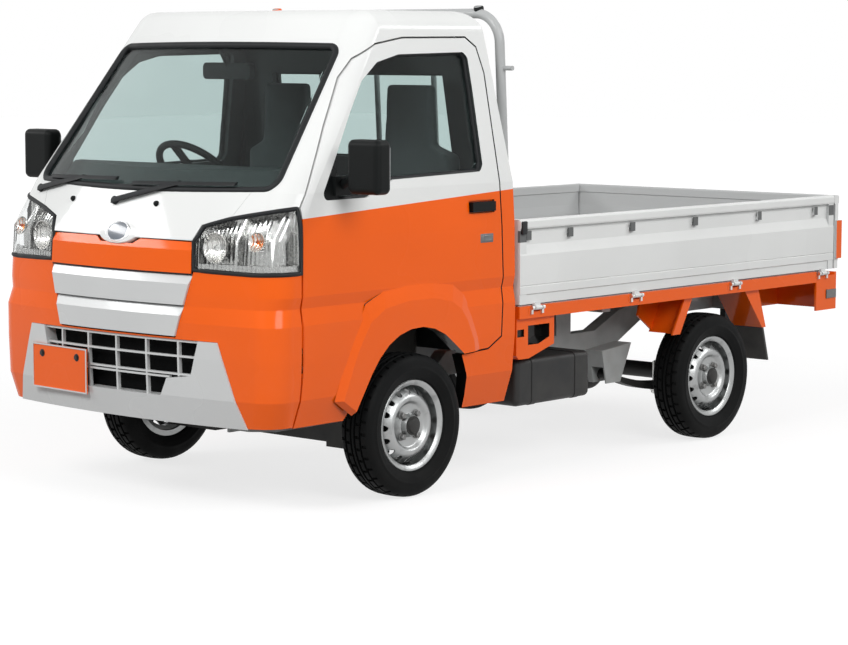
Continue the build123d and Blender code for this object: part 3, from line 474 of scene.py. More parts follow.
def road_dust():
    """Dust that gathers towards the ground and in soft patches."""
    tree, given = effect("Road dust", Colour=PLAIN_GREY, Dust=(0.36, 0.33, 0.29, 1), Amount=0.3, Reach=0.9)
    low = span(tree, maths(tree, "DIVIDE", coordinate(tree, "Z"), given["Reach"]), 0.15, 1.0, 1.0, 0.0)
    patch = span(tree, object_noise(tree, 7.0, 5.0), 0.35, 0.75, 0.25, 1.0)
    mask = times(tree, times(tree, low, patch), given["Amount"])
    return effect_out(tree, Colour=mix_colour(tree, mask, given["Colour"], given["Dust"]), Mask=mask)


def fine_grain():
    """Small moulded or cast grain as a height, with a slight colour drift."""
    tree, given = effect("Fine grain", Colour=PLAIN_GREY, Scale=500.0, Drift=0.2)
    grid = {"Vector": object_point(tree), "Scale": given["Scale"]}
    cells = add(tree, "TexVoronoi", grid, feature="SMOOTH_F1")
    noise = object_noise(tree, 11.0, 4.0)
    bright = span(tree, noise, 0.3, 0.7, 0.75, 1.25)
    return effect_out(
        tree, Colour=shaded(tree, given["Colour"], bright, given["Drift"]),
        Height=cells.outputs["Distance"], Rough=span(tree, noise, 0.2, 0.8))


def paint_skin():
    """Faint ripple and shade drift of sprayed paint."""
    tree, given = effect("Paint skin", Colour=PLAIN_GREY, Ripple=160.0)
    ripple = add(tree, "TexNoise", {"Vector": object_point(tree), "Scale": given["Ripple"], "Detail": 1.0})
    drift = object_noise(tree, 2.2)
    return effect_out(
        tree, Colour=shaded(tree, given["Colour"], span(tree, drift, 0.3, 0.7, 0.965, 1.02)),
        Height=ripple.outputs[0], Rough=span(tree, drift, 0.25, 0.75, 0.20, 0.32))


def steel_streak():
    """Drawn or brushed streaks with a few dull spots."""
    tree, given = effect("Steel streak", Colour=PLAIN_GREY, Dull=0.2)
    streak = object_noise(tree, 60.0, 3.0, (1.0, 9.0, 1.0))
    spots = span(tree, object_noise(tree, 24.0, 6.0), 0.55, 0.72)
    dark = shaded(tree, given["Colour"], 0.45)
    return effect_out(
        tree, Colour=mix_colour(tree, times(tree, spots, given["Dull"]), given["Colour"], dark),
        Height=streak, Rough=span(tree, streak, 0.3, 0.7, 0.24, 0.42))


def seat_weave():
    """Plain woven cloth with a flecked yarn."""
    tree, given = effect("Seat weave", Colour=PLAIN_GREY, Scale=330.0)
    yarn = {"Vector": object_point(tree), "Scale": given["Scale"], "Distortion": 1.5}
    across, upright = (add(tree, "TexWave", yarn, bands_direction=way).outputs["Fac"] for way in "XZ")
    fleck = span(tree, object_noise(tree, 420.0), 0.3, 0.7, 0.85, 1.15)
    return effect_out(tree, Colour=shaded(tree, given["Colour"], fleck), Height=times(tree, across, upright))


def inner_lining_and_shade():
    """Another colour on the faces that look towards a middle point: dark trim inside the cab, painted shade on
    the inner faces of the gates.
    """
    tree, given = effect("Inner lining", Colour=PLAIN_GREY, Lining=PLAIN_GREY, Middle=CAB_MIDDLE)
    away = vectors(tree, "SUBTRACT", object_point(tree), given["Middle"])
    mask = span(tree, vectors(tree, "DOT_PRODUCT", object_point(tree, "Normal"), away), -0.02, -0.06)
    return effect_out(tree, Colour=mix_colour(tree, mask, given["Colour"], given["Lining"]), Mask=mask)


def arch_shade():
    """Painted shade: black on the faces that look towards a front wheel from inside its arch."""
    tree, given = effect("Arch shade", Colour=PLAIN_GREY, Shade=(0.003, 0.003, 0.003, 1))
    away = vectors(tree, "SUBTRACT", object_point(tree), (0.0, FRONT_AXLE, ARCH_LEVEL))
    flat = vectors(tree, "MULTIPLY", away, (0.0, 1.0, 1.0))
    facing = span(tree, vectors(tree, "DOT_PRODUCT", object_point(tree, "Normal"), flat), -0.10, -0.16)
    near = span(tree, vectors(tree, "LENGTH", flat), 0.50, 0.48)
    return effect_out(tree, Colour=mix_colour(tree, times(tree, facing, near), given["Colour"], given["Shade"]))


# Masks
MASK_EDGE = 0.0008
# Rope hooks in the groove of a side gate: lower and upper level, least distance across
HOOKS = (0.906, 0.951, BED_HALF - 0.0125)
# Pockets at the front of the bed sills: lower and upper level, front and rear end behind the axle, depth
POCKETS = (0.506, 0.583, 0.589, 0.788, 0.7164)


def between(tree, value, low, high, soft):
    """A mask where a value lies between two levels."""
    return times(tree, span(tree, value, low - soft, low + soft), span(tree, value, high + soft, high - soft))


def beyond(tree, axis, level):
    """A mask where the size of an object coordinate passes a level."""
    return span(tree, coordinate(tree, axis, True), level - MASK_EDGE, level + MASK_EDGE)


def hook_mask(tree):
    """A mask on the rope hooks, which stand out in the groove of a side gate."""
    low, high, across = HOOKS
    return times(tree, between(tree, coordinate(tree, "Z"), low, high, 0.001), beyond(tree, "X", across))


def pocket_painted_shade(tree):
    """A mask inside the two pockets at the front of the bed sills, where black is painted as their shade."""
    low, high, front, rear, depth = POCKETS
    band = between(tree, coordinate(tree, "Z"), low, high, 0.0005)
    run = between(tree, coordinate(tree, "Y"), FRONT_AXLE + front, FRONT_AXLE + rear, 0.0005)
    inside = span(tree, coordinate(tree, "X", True), depth + 0.0004, depth - 0.0004)
    return times(tree, times(tree, band, run), inside)


def split_mask(tree, level, slope):
    """A mask above the colour split, which rises along the cab."""
    line = maths(tree, "MULTIPLY_ADD", coordinate(tree, "Y"), -slope, coordinate(tree, "Z"))
    edge = level - slope * FRONT_AXLE
    return span(tree, line, edge - MASK_EDGE, edge + MASK_EDGE)


def background_rays(tree):
    """A mask for the rays that show the background: seen directly, in metal or through glass."""
    rays = add(tree, "LightPath").outputs
    mirrored = maths(tree, "MAXIMUM", rays["Is Camera Ray"], rays["Is Glossy Ray"])
    return maths(tree, "MAXIMUM", mirrored, rays["Is Transmission Ray"])


# Finishes
def place(tree, name, **sockets):
    """Puts a shared effect into a material and gives its outputs."""
    node = tree.nodes.new("ShaderNodeGroup")
    node.node_tree = EFFECTS[name]
    wire(tree, node, **sockets)
    return node.outputs


def new_finish(name, **values):
    """A material whose shader has these constant values."""
    material = bpy.data.materials.new(name)
    material.use_nodes = True
    FINISHES[name] = material
    shader = material.node_tree.nodes["Principled BSDF"]
    wire(material.node_tree, shader, **values)
    return material.node_tree, shader


def paint(name, colour, dust=0.05, reach=0.9, other=None, where=None, lining=None, arch=False, **values):
    """Sprayed paint under a clear coat.

    other is a second colour where a mask says so, lining a colour for the faces that look
    to a middle (dark trim in the cab, painted shade on the gates), and arch paints black shade into the wheel
    arches.
    """
    tree, shader = new_finish(
        name, Coat_Weight=0.35, Coat_Roughness=0.06, IOR=1.45, Specular_IOR_Level=0.05, **values)
    skin = place(tree, "paint", Colour=mix_colour(tree, where(tree), colour, other) if other else colour)
    shown = place(tree, "dust", Colour=skin["Colour"], Amount=dust, Reach=reach)["Colour"]
    rough = skin["Rough"]
    if lining:
        inner = place(tree, "lining", Colour=shown, Lining=lining[0], Middle=lining[1])
        shown = inner["Colour"]
        rough = maths(tree, "MAXIMUM", rough, span(tree, inner["Mask"], 0, 1, 0, 0.65))
    if arch:
        shown = place(tree, "arch", Colour=shown)["Colour"]
    wire(tree, shader, Base_Color=shown, Roughness=rough)
    bump(tree, shader, skin["Height"], 0.03, 0.0006)


def moulded(name, colour, scale=700.0, rough=(0.38, 0.56), strength=0.12, dust=0.25, reach=0.8, **values):
    """Grained plastic, rubber or cast metal."""
    tree, shader = new_finish(name, **values)
    grain = place(tree, "grain", Colour=colour, Scale=scale, Drift=0.6)
    film = place(tree, "dust", Colour=grain["Colour"], Amount=dust, Reach=reach)
    wire(tree, shader, Base_Color=film["Colour"], Roughness=span(tree, grain["Rough"], 0, 1, *rough))
    bump(tree, shader, grain["Height"], strength, 0.0008)


def metal(name, colour, dull=0.3, rough_shift=0.0, dust=0.15, reach=0.7, ribs=0.0):
    """Bare or plated metal, plain or fluted."""
    tree, shader = new_finish(name, Metallic=1.0)
    streak = place(tree, "steel", Colour=colour, Dull=dull)
    film = place(tree, "dust", Colour=streak["Colour"], Amount=dust, Reach=reach)
    rough = span(tree, streak["Rough"], 0, 1, rough_shift, 1 + rough_shift)
    wire(tree, shader, Base_Color=film["Colour"], Roughness=rough)
    if ribs:
        bump(tree, shader, flutes(tree, ribs), 0.6, 0.003)
    else:
        bump(tree, shader, streak["Height"], 0.05, 0.0004)


def clear_lens(name, colour, rough=(0.0, 0.06), ribs=0.0):
    """Window or lamp glass, a little uneven, which lets the lamps' light through."""
    tree, shader = new_finish(name, Transmission_Weight=1.0, IOR=1.2)
    film = place(tree, "dust", Colour=colour, Dust=(0.5, 0.5, 0.48), Amount=0.06, Reach=1.6)
    wire(tree, shader, Base_Color=film["Colour"], Roughness=span(tree, film["Mask"], 0.0, 0.2, *rough))
    if ribs:
        bump(tree, shader, flutes(tree, ribs), 0.25, 0.002)
    rays = add(tree, "LightPath").outputs
    lit = maths(tree, "MAXIMUM", rays["Is Shadow Ray"], rays["Is Diffuse Ray"])
    opening = add(tree, "BsdfTransparent", {"Color": tuple(math.sqrt(part) for part in colour)})
    pane = add(tree, "MixShader", {0: lit, 1: shader.outputs[0], 2: opening.outputs[0]})
    wire(tree, tree.nodes["Material Output"], Surface=pane.outputs[0])


# Tail lamp fields from the middle outwards: start across, colour
LAMP_FIELDS = [
    (0.0, (0.70, 0.71, 0.71)),
    (0.548, (0.62, 0.13, 0.005)),
    (0.624, (0.36, 0.006, 0.006)),
    (0.729, (0.030, 0.026, 0.026)),
]


def tail_lens():
    """Ribbed lamp plastic in fields of clear, amber and red, and smoked side markers."""
    tree, shader = new_finish("tail_lens", Coat_Weight=0.8, Coat_Roughness=0.04, IOR=1.49)
    shown = LAMP_FIELDS[0][1]
    for start, tone in LAMP_FIELDS[1:]:
        shown = mix_colour(tree, beyond(tree, "X", start), shown, tone)
    film = place(tree, "dust", Colour=shown, Amount=0.15, Reach=1.0)
    wire(tree, shader, Base_Color=film["Colour"], Roughness=span(tree, film["Mask"], 0.0, 0.2, 0.12, 0.3))
    bump(tree, shader, flutes(tree, 60.0), 0.5, 0.002)


def seat_cloth(colour):
    tree, shader = new_finish("seat_cloth", Roughness=0.9, Sheen_Weight=0.25, Sheen_Roughness=0.5)
    weave = place(tree, "weave", Colour=colour)
    wire(tree, shader, Base_Color=weave["Colour"])
    bump(tree, shader, weave["Height"], 0.2, 0.0008)


# Finishes of the truck's own panels
PANEL_FINISHES = {
    "headboard_paint": "headboard",
    "cab_white_paint": "roof a_pillars nose_panel",
    "two_tone_paint": "b_pillars cab_back door_left door_right",
    "gate_paint": "side_gate_left side_gate_right",
    "tailgate_paint": "tailgate",
    "bed_paint": "bed_floor",
    "orange_paint": "nose_strip bumper number_plate rear_panel mudguards",
    "sill_paint": "bed_sills",
    "silver_paint": "grille_bars bumper_skirt",
    "grille_black": "radiator",
    "window_glass": "cab_glass door_glass_left door_glass_right",
    "lamp_lens": "headlamps",
    "tail_lens": "tail_lamps",
    "black_plastic": "door_fittings_left door_fittings_right inner_mirror wipers steering_wheel",
    "dash_plastic": "dashboard steering_column",
    "floor_mat": "cab_floor",
    "seat_cloth": "seat_cushions seat_backs",
    "frame_paint": "frame",
    "black_metal": "front_suspension rear_axle leaf_springs drive_shaft fuel_tank knuckle_left knuckle_right",
    "cast_metal": "engine",
    "exhaust_steel": "exhaust",
    "hinge_steel": "gate_hinges door_hinges",
    "rim_silver": "rim_front_left rim_front_right rim_rear_left rim_rear_right",
    "tyre_rubber": "tyre_front_left tyre_front_right tyre_rear_left tyre_rear_right",
    "flap_rubber": "mud_flaps",
}
CAB_LINING = ((0.045, 0.050, 0.050), CAB_MIDDLE)
# Grey painted shade on the faces of the gates and the tailgate that look into the bed: colour, middle point
BED_PAINTED_SHADE = ((0.54, 0.55, 0.55), BED_MIDDLE)
# The headboard turns into bare tubes across this edge
GUARD_TUBE_EDGE = (0.999, 1.001)


class TRUCK_OT_finishes(bpy.types.Operator):
    """Makes the finishes and puts them on the truck's own panels"""

    bl_idname = "truck.finishes"
    bl_label = "Finishes"

    def execute(self, context):
        look = context.scene.truck_finish
        EFFECTS.update(
            dust=road_dust(), grain=fine_grain(), paint=paint_skin(), steel=steel_streak(),
            weave=seat_weave(), lining=inner_lining_and_shade(), arch=arch_shade())
        self.paints(tuple(look.white), tuple(look.orange), tuple(look.silver), context.scene.truck_trim)
        self.plastics(tuple(look.frame_grey))
        self.metals()
        clear_lens("window_glass", tuple(look.glass))
        clear_lens("lamp_lens", (0.95, 0.96, 0.96))
        clear_lens("amber_lens", (0.85, 0.22, 0.01), rough=(0.05, 0.15), ribs=90.0)
        tail_lens()
        seat_cloth(tuple(look.cloth))
        for finish, names in PANEL_FINISHES.items():
            for name in names.split():
                NODES[name].data.materials.clear()
                NODES[name].data.materials.append(FINISHES[finish])
        return {"FINISHED"}

    def paints(self, white, orange, silver, trim):
        split = lambda tree: split_mask(tree, trim.split_level, trim.split_slope)
        lever = lambda tree: beyond(tree, "X", BED_HALF + 0.001)
        tubes = lambda tree: span(tree, coordinate(tree, "Z"), *GUARD_TUBE_EDGE)
        # The inner faces of the gates and the tailgate get a grey painted shade
        gate = dict(dust=0.06, reach=1.3, lining=BED_PAINTED_SHADE)
        paint("headboard_paint", white, dust=0.08, other=(0.46, 0.47, 0.47), where=tubes)
        paint("cab_white_paint", white, dust=0.08, lining=CAB_LINING)
        paint("gate_paint", white, other=(0.13, 0.135, 0.135), where=hook_mask, **gate)
        paint("tailgate_paint", white, other=orange, where=lever, **gate)
        # arch=True paints black shade on the faces inside the front wheel arches
        paint("orange_paint", orange, arch=True)
        # Black painted shade inside the pockets of the sills
        paint("sill_paint", orange, other=(0.004, 0.004, 0.004), where=pocket_painted_shade)
        # Black painted shade in the wheel arches here too
        paint("two_tone_paint", orange, other=white, where=split, lining=CAB_LINING, arch=True)
        paint("silver_paint", silver, Metallic=0.1)
        paint("bed_paint", (0.50, 0.51, 0.51), dust=0.4, reach=1.4)

    def plastics(self, frame_grey):
        moulded("frame_paint", frame_grey, scale=220.0, dust=0.35)
        moulded("black_plastic", (0.004, 0.005, 0.005), dust=0.01, Specular_IOR_Level=0.12)
        moulded("dash_plastic", (0.030, 0.036, 0.036), scale=900.0, rough=(0.5, 0.7), dust=0.03, reach=1.4,
                Specular_IOR_Level=0.3)
        moulded("floor_mat", (0.022, 0.024, 0.025), scale=260.0, rough=(0.7, 0.9), strength=0.3, dust=0.5,
                reach=0.9)
        moulded("window_rubber", (0.005, 0.006, 0.007), rough=(0.45, 0.65), dust=0.04, Specular_IOR_Level=0.25)
        moulded("tyre_rubber", (0.0025, 0.0028, 0.003), scale=900.0, rough=(0.5, 0.75), dust=0.008, reach=0.6,
                Specular_IOR_Level=0.10)
        moulded("flap_rubber", (0.014, 0.015, 0.016), scale=500.0, rough=(0.6, 0.8), dust=0.4, reach=0.6)
        moulded("black_metal", (0.007, 0.008, 0.009), scale=300.0, rough=(0.4, 0.6), dust=0.12, reach=0.7,
                Specular_IOR_Level=0.3)
        moulded("cast_metal", (0.16, 0.165, 0.17), scale=260.0, rough=(0.45, 0.7), strength=0.3, dust=0.45,
                Metallic=0.85)
        moulded("grille_black", (0.002, 0.0022, 0.0024), scale=500.0, rough=(0.6, 0.8), dust=0.005,
                Specular_IOR_Level=0.05)
        moulded("badge_enamel", (0.10, 0.12, 0.15), rough=(0.15, 0.25), strength=0.02, dust=0.0,
                Coat_Weight=0.6)

    def metals(self):
        metal("rim_silver", (0.36, 0.37, 0.37), dull=0.6, rough_shift=0.04, dust=0.1, reach=0.6)
        metal("hinge_steel", (0.62, 0.62, 0.61), dull=0.4)
        metal("exhaust_steel", (0.35, 0.33, 0.30), dull=0.8, rough_shift=0.1, dust=0.4)
        metal("reflector", (0.66, 0.65, 0.63), dull=0.0, rough_shift=-0.12, dust=0.0, ribs=30.0)
        metal("lamp_housing", (0.42, 0.42, 0.41), dull=0.1, rough_shift=-0.10, dust=0.0, ribs=18.0)
        metal("mirror_silver", (0.82, 0.83, 0.84), dull=0.0, rough_shift=-0.22, dust=0.0)
        metal("chrome", (0.80, 0.81, 0.82), dull=0.05, rough_shift=-0.2, dust=0.03)


# Half of the tyre's outside: offset from the middle, radius, from the bead to the middle of the tread
TYRE_SECTION = [
    (-0.0465, 0.1525), (-0.0500, 0.1690), (-0.0560, 0.1735), (-0.0600, 0.1760), (-0.0612, 0.1800),
    (-0.0650, 0.1880), (-0.0690, 0.1990), (-0.0712, 0.2090), (-0.0722, 0.2110), (-0.0722, 0.2150),
    (-0.0712, 0.2170), (-0.0715, 0.2260), (-0.0700, 0.2380), (-0.0672, 0.2470), (-0.0630, 0.2540),
    (-0.0580, 0.2590), (-0.0510, 0.2625), (-0.0400, 0.2645), (-0.0385, 0.2580), (-0.0315, 0.2580),
    (-0.0300, 0.2652), (-0.0140, 0.2658), (-0.0125, 0.2590), (-0.0055, 0.2590), (-0.0040, 0.2660),
]
# Half of its inside, from the other bead to the middle
TYRE_INSIDE = [(0.034, 0.1515), (0.050, 0.186), (0.062, 0.215), (0.055, 0.243), (0.030, 0.250)]
TYRE_STEPS = 144
# Cross grooves: from and to, off the middle; which of every four steps, on the outer and the inner half
TREAD_CUTS = [(0.040, 0.058, 0, 2), (0.014, 0.030, 1, 3)]
TREAD_EVERY = 4
TREAD_FLOOR = 0.2585
TREAD_EDGE = 0.0012


def both_halves(half):
    return half + [(-offset, radius) for offset, radius in reversed(half)]


class TRUCK_OT_tyres(bpy.types.Operator):
    """Models a road tyre with grooved tread and fits one to each wheel"""

    bl_idname = "truck.tyres"
    bl_label = "Tyres"

    def execute(self, context):
        depth = context.scene.truck_trim.tread_depth
        x, y = WHEELS["front_left"]
        hub = Vector((x, y, TYRE_RADIUS))
        tyre = turned(both_halves(TYRE_SECTION) + both_halves(TYRE_INSIDE), hub, (1, 0, 0), TYRE_STEPS)

        def groove(c, n):
            away = c - hub
            turn = math.atan2(away.z, away.y) / (2 * math.pi)
            step = int(round(turn * TYRE_STEPS - 0.5)) % TREAD_EVERY
            return math.hypot(away.y, away.z) >= TREAD_FLOOR and any(
                near < abs(away.x) < far and step == (outer if away.x > 0 else inner)
                for near, far, outer, inner in TREAD_CUTS)

        edit(tyre)
        pick_faces(tyre, groove)
        bpy.ops.mesh.inset(thickness=TREAD_EDGE, depth=-depth, use_even_offset=True)
        leave()
        smooth(tyre, 40)
        for name, (wx, wy) in WHEELS.items():
            piece = tyre if name == "front_left" else twin(tyre, (wx - x, wy - y, 0))
            hand_over(piece, "road_tyre_" + name, "tyre_rubber", body="wheel_" + name)
            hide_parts("tyre_" + name)
        return {"FINISHED"}


# Rim barrel: offset outwards, radius; the tyre side first, then the open side back
RIM_BARREL = [
    (-0.052, 0.170), (-0.047, 0.170), (-0.047, 0.1522), (-0.040, 0.1512), (-0.034, 0.134), (-0.012, 0.134),
    (-0.005, 0.1512), (0.047, 0.1522), (0.047, 0.170), (0.052, 0.170), (0.0545, 0.1675), (0.0540, 0.1630),
    (0.0505, 0.1580), (0.0465, 0.1500), (0.0440, 0.1480), (0.002, 0.1474), (-0.008, 0.130), (-0.037, 0.130),
    (-0.043, 0.147), (-0.052, 0.149),
]
# Pressed disc, its outer face from the barrel to the hub: offset outwards, radius
RIM_DISC = [
    (0.004, 0.1485), (0.008, 0.1450), (0.018, 0.1380), (0.034, 0.1240), (0.0445, 0.1140), (0.0495, 0.1070),
    (0.0512, 0.1000), (0.0500, 0.0935), (0.0450, 0.0875), (0.0375, 0.0820), (0.0345, 0.0770), (0.0340, 0.0480),
    (0.0360, 0.0440), (0.0500, 0.0400), (0.0565, 0.0370), (0.0565, 0.0),
]
RIM_PLATE = 0.005
RIM_STEPS = 96
RIM_WINDOWS = 16
RIM_WINDOW_RING = 0.1285
RIM_WINDOW_RADIUS = 0.0115
RIM_CUTTER = [(-0.02, 0.0), (-0.02, RIM_WINDOW_RADIUS), (0.08, RIM_WINDOW_RADIUS), (0.08, 0.0)]


class TRUCK_OT_rims(bpy.types.Operator):
    """Models a pressed steel rim with a row of windows and fits one to each wheel"""

    bl_idname = "truck.rims"
    bl_label = "Rims"

    def execute(self, context):
        x, y = WHEELS["front_left"]
        hub, axis = Vector((x, y, TYRE_RADIUS)), (1, 0, 0)
        barrel = turned(RIM_BARREL, hub, axis, RIM_STEPS)
        inside = [(along - RIM_PLATE, radius) for along, radius in reversed(RIM_DISC)]
        disc = turned(RIM_DISC + inside, hub, axis, RIM_STEPS)
        cutters = []
        for i in range(RIM_WINDOWS):
            angle = 2 * math.pi * i / RIM_WINDOWS
            spot = hub + Vector((0, math.cos(angle), math.sin(angle))) * RIM_WINDOW_RING
            cutters.append(turned(RIM_CUTTER, spot, axis, 20))
        cutter = merged(cutters)
        modify(disc, "BOOLEAN", object=cutter, operation="DIFFERENCE", solver="EXACT")
        bpy.data.objects.remove(cutter)
        smooth(disc, 30)
        rim = merged([barrel, disc])
        for name, (wx, wy) in WHEELS.items():
            piece = rim if name == "front_left" else twin(rim, (0, wy - y, 0), wx < 0)
            hand_over(piece, "pressed_rim_" + name, "rim_silver", body="wheel_" + name)
            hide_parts("rim_" + name)
        return {"FINISHED"}


# Sections of the small wheel pieces: along, radius
NUT_WASHER = [(-0.001, 0.0), (-0.001, 0.0145), (0.003, 0.0145), (0.004, 0.0125), (0.004, 0.0)]
HUB_CAP = [(0.0, 0.0), (0.0, 0.036), (0.003, 0.036), (0.0035, 0.034), (0.0030, 0.030), (0.0095, 0.026),
           (0.012, 0.020), (0.012, 0.0)]
TYRE_VALVE = [(0.0, 0.0), (0.0, 0.006), (0.010, 0.005), (0.011, 0.0035), (0.026, 0.0035), (0.027, 0.0042),
              (0.034, 0.0042), (0.035, 0.0)]
# Their offsets outwards from the middle of the wheel
NUT_OFFSET, CAP_OFFSET, VALVE_OFFSET = 0.0342, 0.0565, 0.012
NUTS = 4
NUT_HEIGHT = 0.016
VALVE_RING = 0.1475


class TRUCK_OT_wheel_nuts(bpy.types.Operator):
    """Adds the wheel nuts, the hub cap and the valve to each wheel"""

    bl_idname = "truck.wheel_nuts"
    bl_label = "Wheel nuts"

    def execute(self, context):
        trim = context.scene.truck_trim
        for name, (x, y) in WHEELS.items():
            out, body = (1 if x > 0 else -1), "wheel_" + name
            axis = Vector((out, 0, 0))
            hub = Vector((x, y, TYRE_RADIUS))
            nuts = []
            for i in range(NUTS):
                angle = math.pi / 4 + i * 2 * math.pi / NUTS
                ring = Vector((0, math.cos(angle), math.sin(angle))) * trim.nut_ring
                spot = hub + axis * NUT_OFFSET + ring
                nuts.append(stud(spot, axis, trim.nut_radius, NUT_HEIGHT))
                nuts.append(turned(NUT_WASHER, spot, axis, 20))
            hand_over(merged(nuts), "wheel_nuts_" + name, "cast_metal", body)
            cap = turned(HUB_CAP, hub + axis * CAP_OFFSET, axis, 32)
            hand_over(cap, "hub_cap_" + name, "black_metal", body=body)
            foot = hub + axis * VALVE_OFFSET - Vector((0, 0, VALVE_RING))
            valve = turned(TYRE_VALVE, foot, (out, 0, 0.30), 14)
            hand_over(valve, "tyre_valve_" + name, "window_rubber", body)
        return {"FINISHED"}


SCREEN_RUBBER_SHARE = 1.25


class TRUCK_OT_window_rubbers(bpy.types.Operator):
    """Lays the rubber beads round the windscreen, the back window and the door windows"""

    bl_idname = "truck.window_rubbers"
    bl_label = "Window rubbers"

    def execute(self, context):
        radius = context.scene.truck_trim.rubber_radius
        screen = lambda c, n: c.y < -1.0 and n.y < -0.3
        rubber_round("cab_glass", screen, radius * SCREEN_RUBBER_SHARE, "screen_rubber")
        rubber_round("cab_glass", lambda c, n: c.y > -0.9 and n.y > 0.5, radius, "back_window_rubber")
        for side, sign in SIDES:
            rubber_round("door_glass_" + side, lambda c, n: n.x * sign > 0.5, radius,
                         "door_window_rubber_" + side, "door_%s_body" % side)
        return {"FINISHED"}


# Lamp bowls: name, across, level, radius, finish of the bulb
LAMP_BOWLS = [
    ("main", 0.462, 0.950, 0.052, "lamp_lens"),
    ("turn", 0.630, 0.978, 0.034, "amber_lens"),
]
# Sections of bowl and bulb, in bowl radii: along, radius
BOWL_REACH = 0.74
BOWL_SECTION = [(0.0, 0.14), (0.10, 0.40), (0.28, 0.66), (0.55, 0.90), (BOWL_REACH, 1.0), (BOWL_REACH, 1.05),
                (0.50, 0.96), (0.22, 0.72), (0.04, 0.45), (-0.06, 0.14)]
BULB_SECTION = [(0.0, 0.0), (0.0, 0.20), (0.30, 0.22), (0.55, 0.20), (0.70, 0.12), (BOWL_REACH, 0.0)]
BOWL_GAP = 0.006
# Ribs of the left lamp: cutting planes (point, normal), depth below the lens
LAMP_RIBS = [
    ([((0.549, 0, 0), (-1, 0, 0)), ((0.559, 0, 0), (1, 0, 0))], 0.008),
    ([((0, 0, 0.893), (0, 0, 1))], 0.007),
    ([((0.395, 0, 0), (1, 0, 0))], 0.007),
]
RIB_DEPTH = 0.030
LENS_WALL = 0.003
HOUSING_WALL = 0.0015
LAMP_RUBBER = 0.0085


def lamp_face(sign):
    """Test for the outer faces of one headlamp."""
    return lambda c, n: c.x * sign > 0 and (n.y < -0.3 or n.x * sign > 0.6) and abs(n.z) < 0.72


class TRUCK_OT_headlamps(bpy.types.Operator):
    """Builds each headlamp from a clear lens, a bright housing, two bowls and their bulbs"""

    bl_idname = "truck.headlamps"
    bl_label = "Headlamps"

    def execute(self, context):
        spots = {(label, sign): on_node("headlamps", x * sign, z)
                 for label, x, z, _, _ in LAMP_BOWLS for _, sign in SIDES}
        for side, sign in SIDES:
            face = lamp_face(sign)
            lens = shell_of("headlamps", face, "lens")
            modify(lens, "SOLIDIFY", thickness=LENS_WALL, offset=-1)
            smooth(lens, 40)
            hand_over(lens, "headlamp_lens_" + side, "lamp_lens")
            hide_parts("headlamps")
            back = shell_of("headlamps", lambda c, n: c.x * sign > 0 and not face(c, n), "housing")
            modify(back, "SOLIDIFY", thickness=HOUSING_WALL, offset=-1)
            hand_over(back, "headlamp_housing_" + side, "lamp_housing")
            mirror = Matrix.Diagonal((sign, 1, 1))
            ribs = []
            for planes, sink in LAMP_RIBS:
                cuts = [(mirror @ Vector(point), mirror @ Vector(normal)) for point, normal in planes]
                ribs.append(strip_of("headlamps", face, cuts, sink, RIB_DEPTH, "rib"))
            hand_over(merged(ribs), "headlamp_ribs_" + side, "lamp_housing")
            for label, _, _, radius, finish in LAMP_BOWLS:
                spot, normal = spots[label, sign]
                facing = (normal + Vector((0, -1, 0))).normalized()
                foot = spot - facing * (BOWL_REACH * radius + BOWL_GAP)
                for kind, section, look, steps in (
                        ("bowl", BOWL_SECTION, "reflector", 36), ("bulb", BULB_SECTION, finish, 20)):
                    piece = turned([(t * radius, r * radius) for t, r in section], foot, facing, steps)
                    hand_over(piece, "%s_%s_%s" % (label, kind, side), look)
            rubber_round("headlamps", face, LAMP_RUBBER, "headlamp_rubber_" + side, sink=LENS_WALL)
        return {"FINISHED"}


SEAT_ACROSS = 0.330
SEAT_FILL_STEPS = 20
CUSHION_SIZE = (0.450, 0.500, 0.105)
BACK_SIZE = (0.420, 0.100, 0.520)
BACK_SWELL_SHARE = 0.8


def puff(obj, cap):
    """Stuffs a cushion: an even mesh, swollen by pressure, with its swell limited."""
    modify(obj, "BEVEL", width=0.022, segments=4, limit_method="ANGLE")
    modify(obj, "REMESH", mode="VOXEL", voxel_size=0.009)
    start = [v.co.copy() for v in obj.data.vertices]
    make_active(obj)
    cloth = obj.modifiers.new("Cloth", "CLOTH")
    cloth.settings.use_pressure = True
    cloth.settings.uniform_pressure_force = 4.0
    cloth.settings.effector_weights.gravity = 0.0
    for step in range(SEAT_FILL_STEPS):
        bpy.context.scene.frame_set(step + 1)
    bpy.ops.object.modifier_apply(modifier=cloth.name)
    bpy.context.scene.frame_set(1)
    for vertex, before in zip(obj.data.vertices, start):
        move = vertex.co - before
        if move.length > cap:
            vertex.co = before + move.normalized() * cap
    modify(obj, "SMOOTH", factor=0.5, iterations=6)
    modify(obj, "SUBSURF", levels=1, render_levels=1)
    make_active(obj)
    bpy.ops.object.shade_smooth()


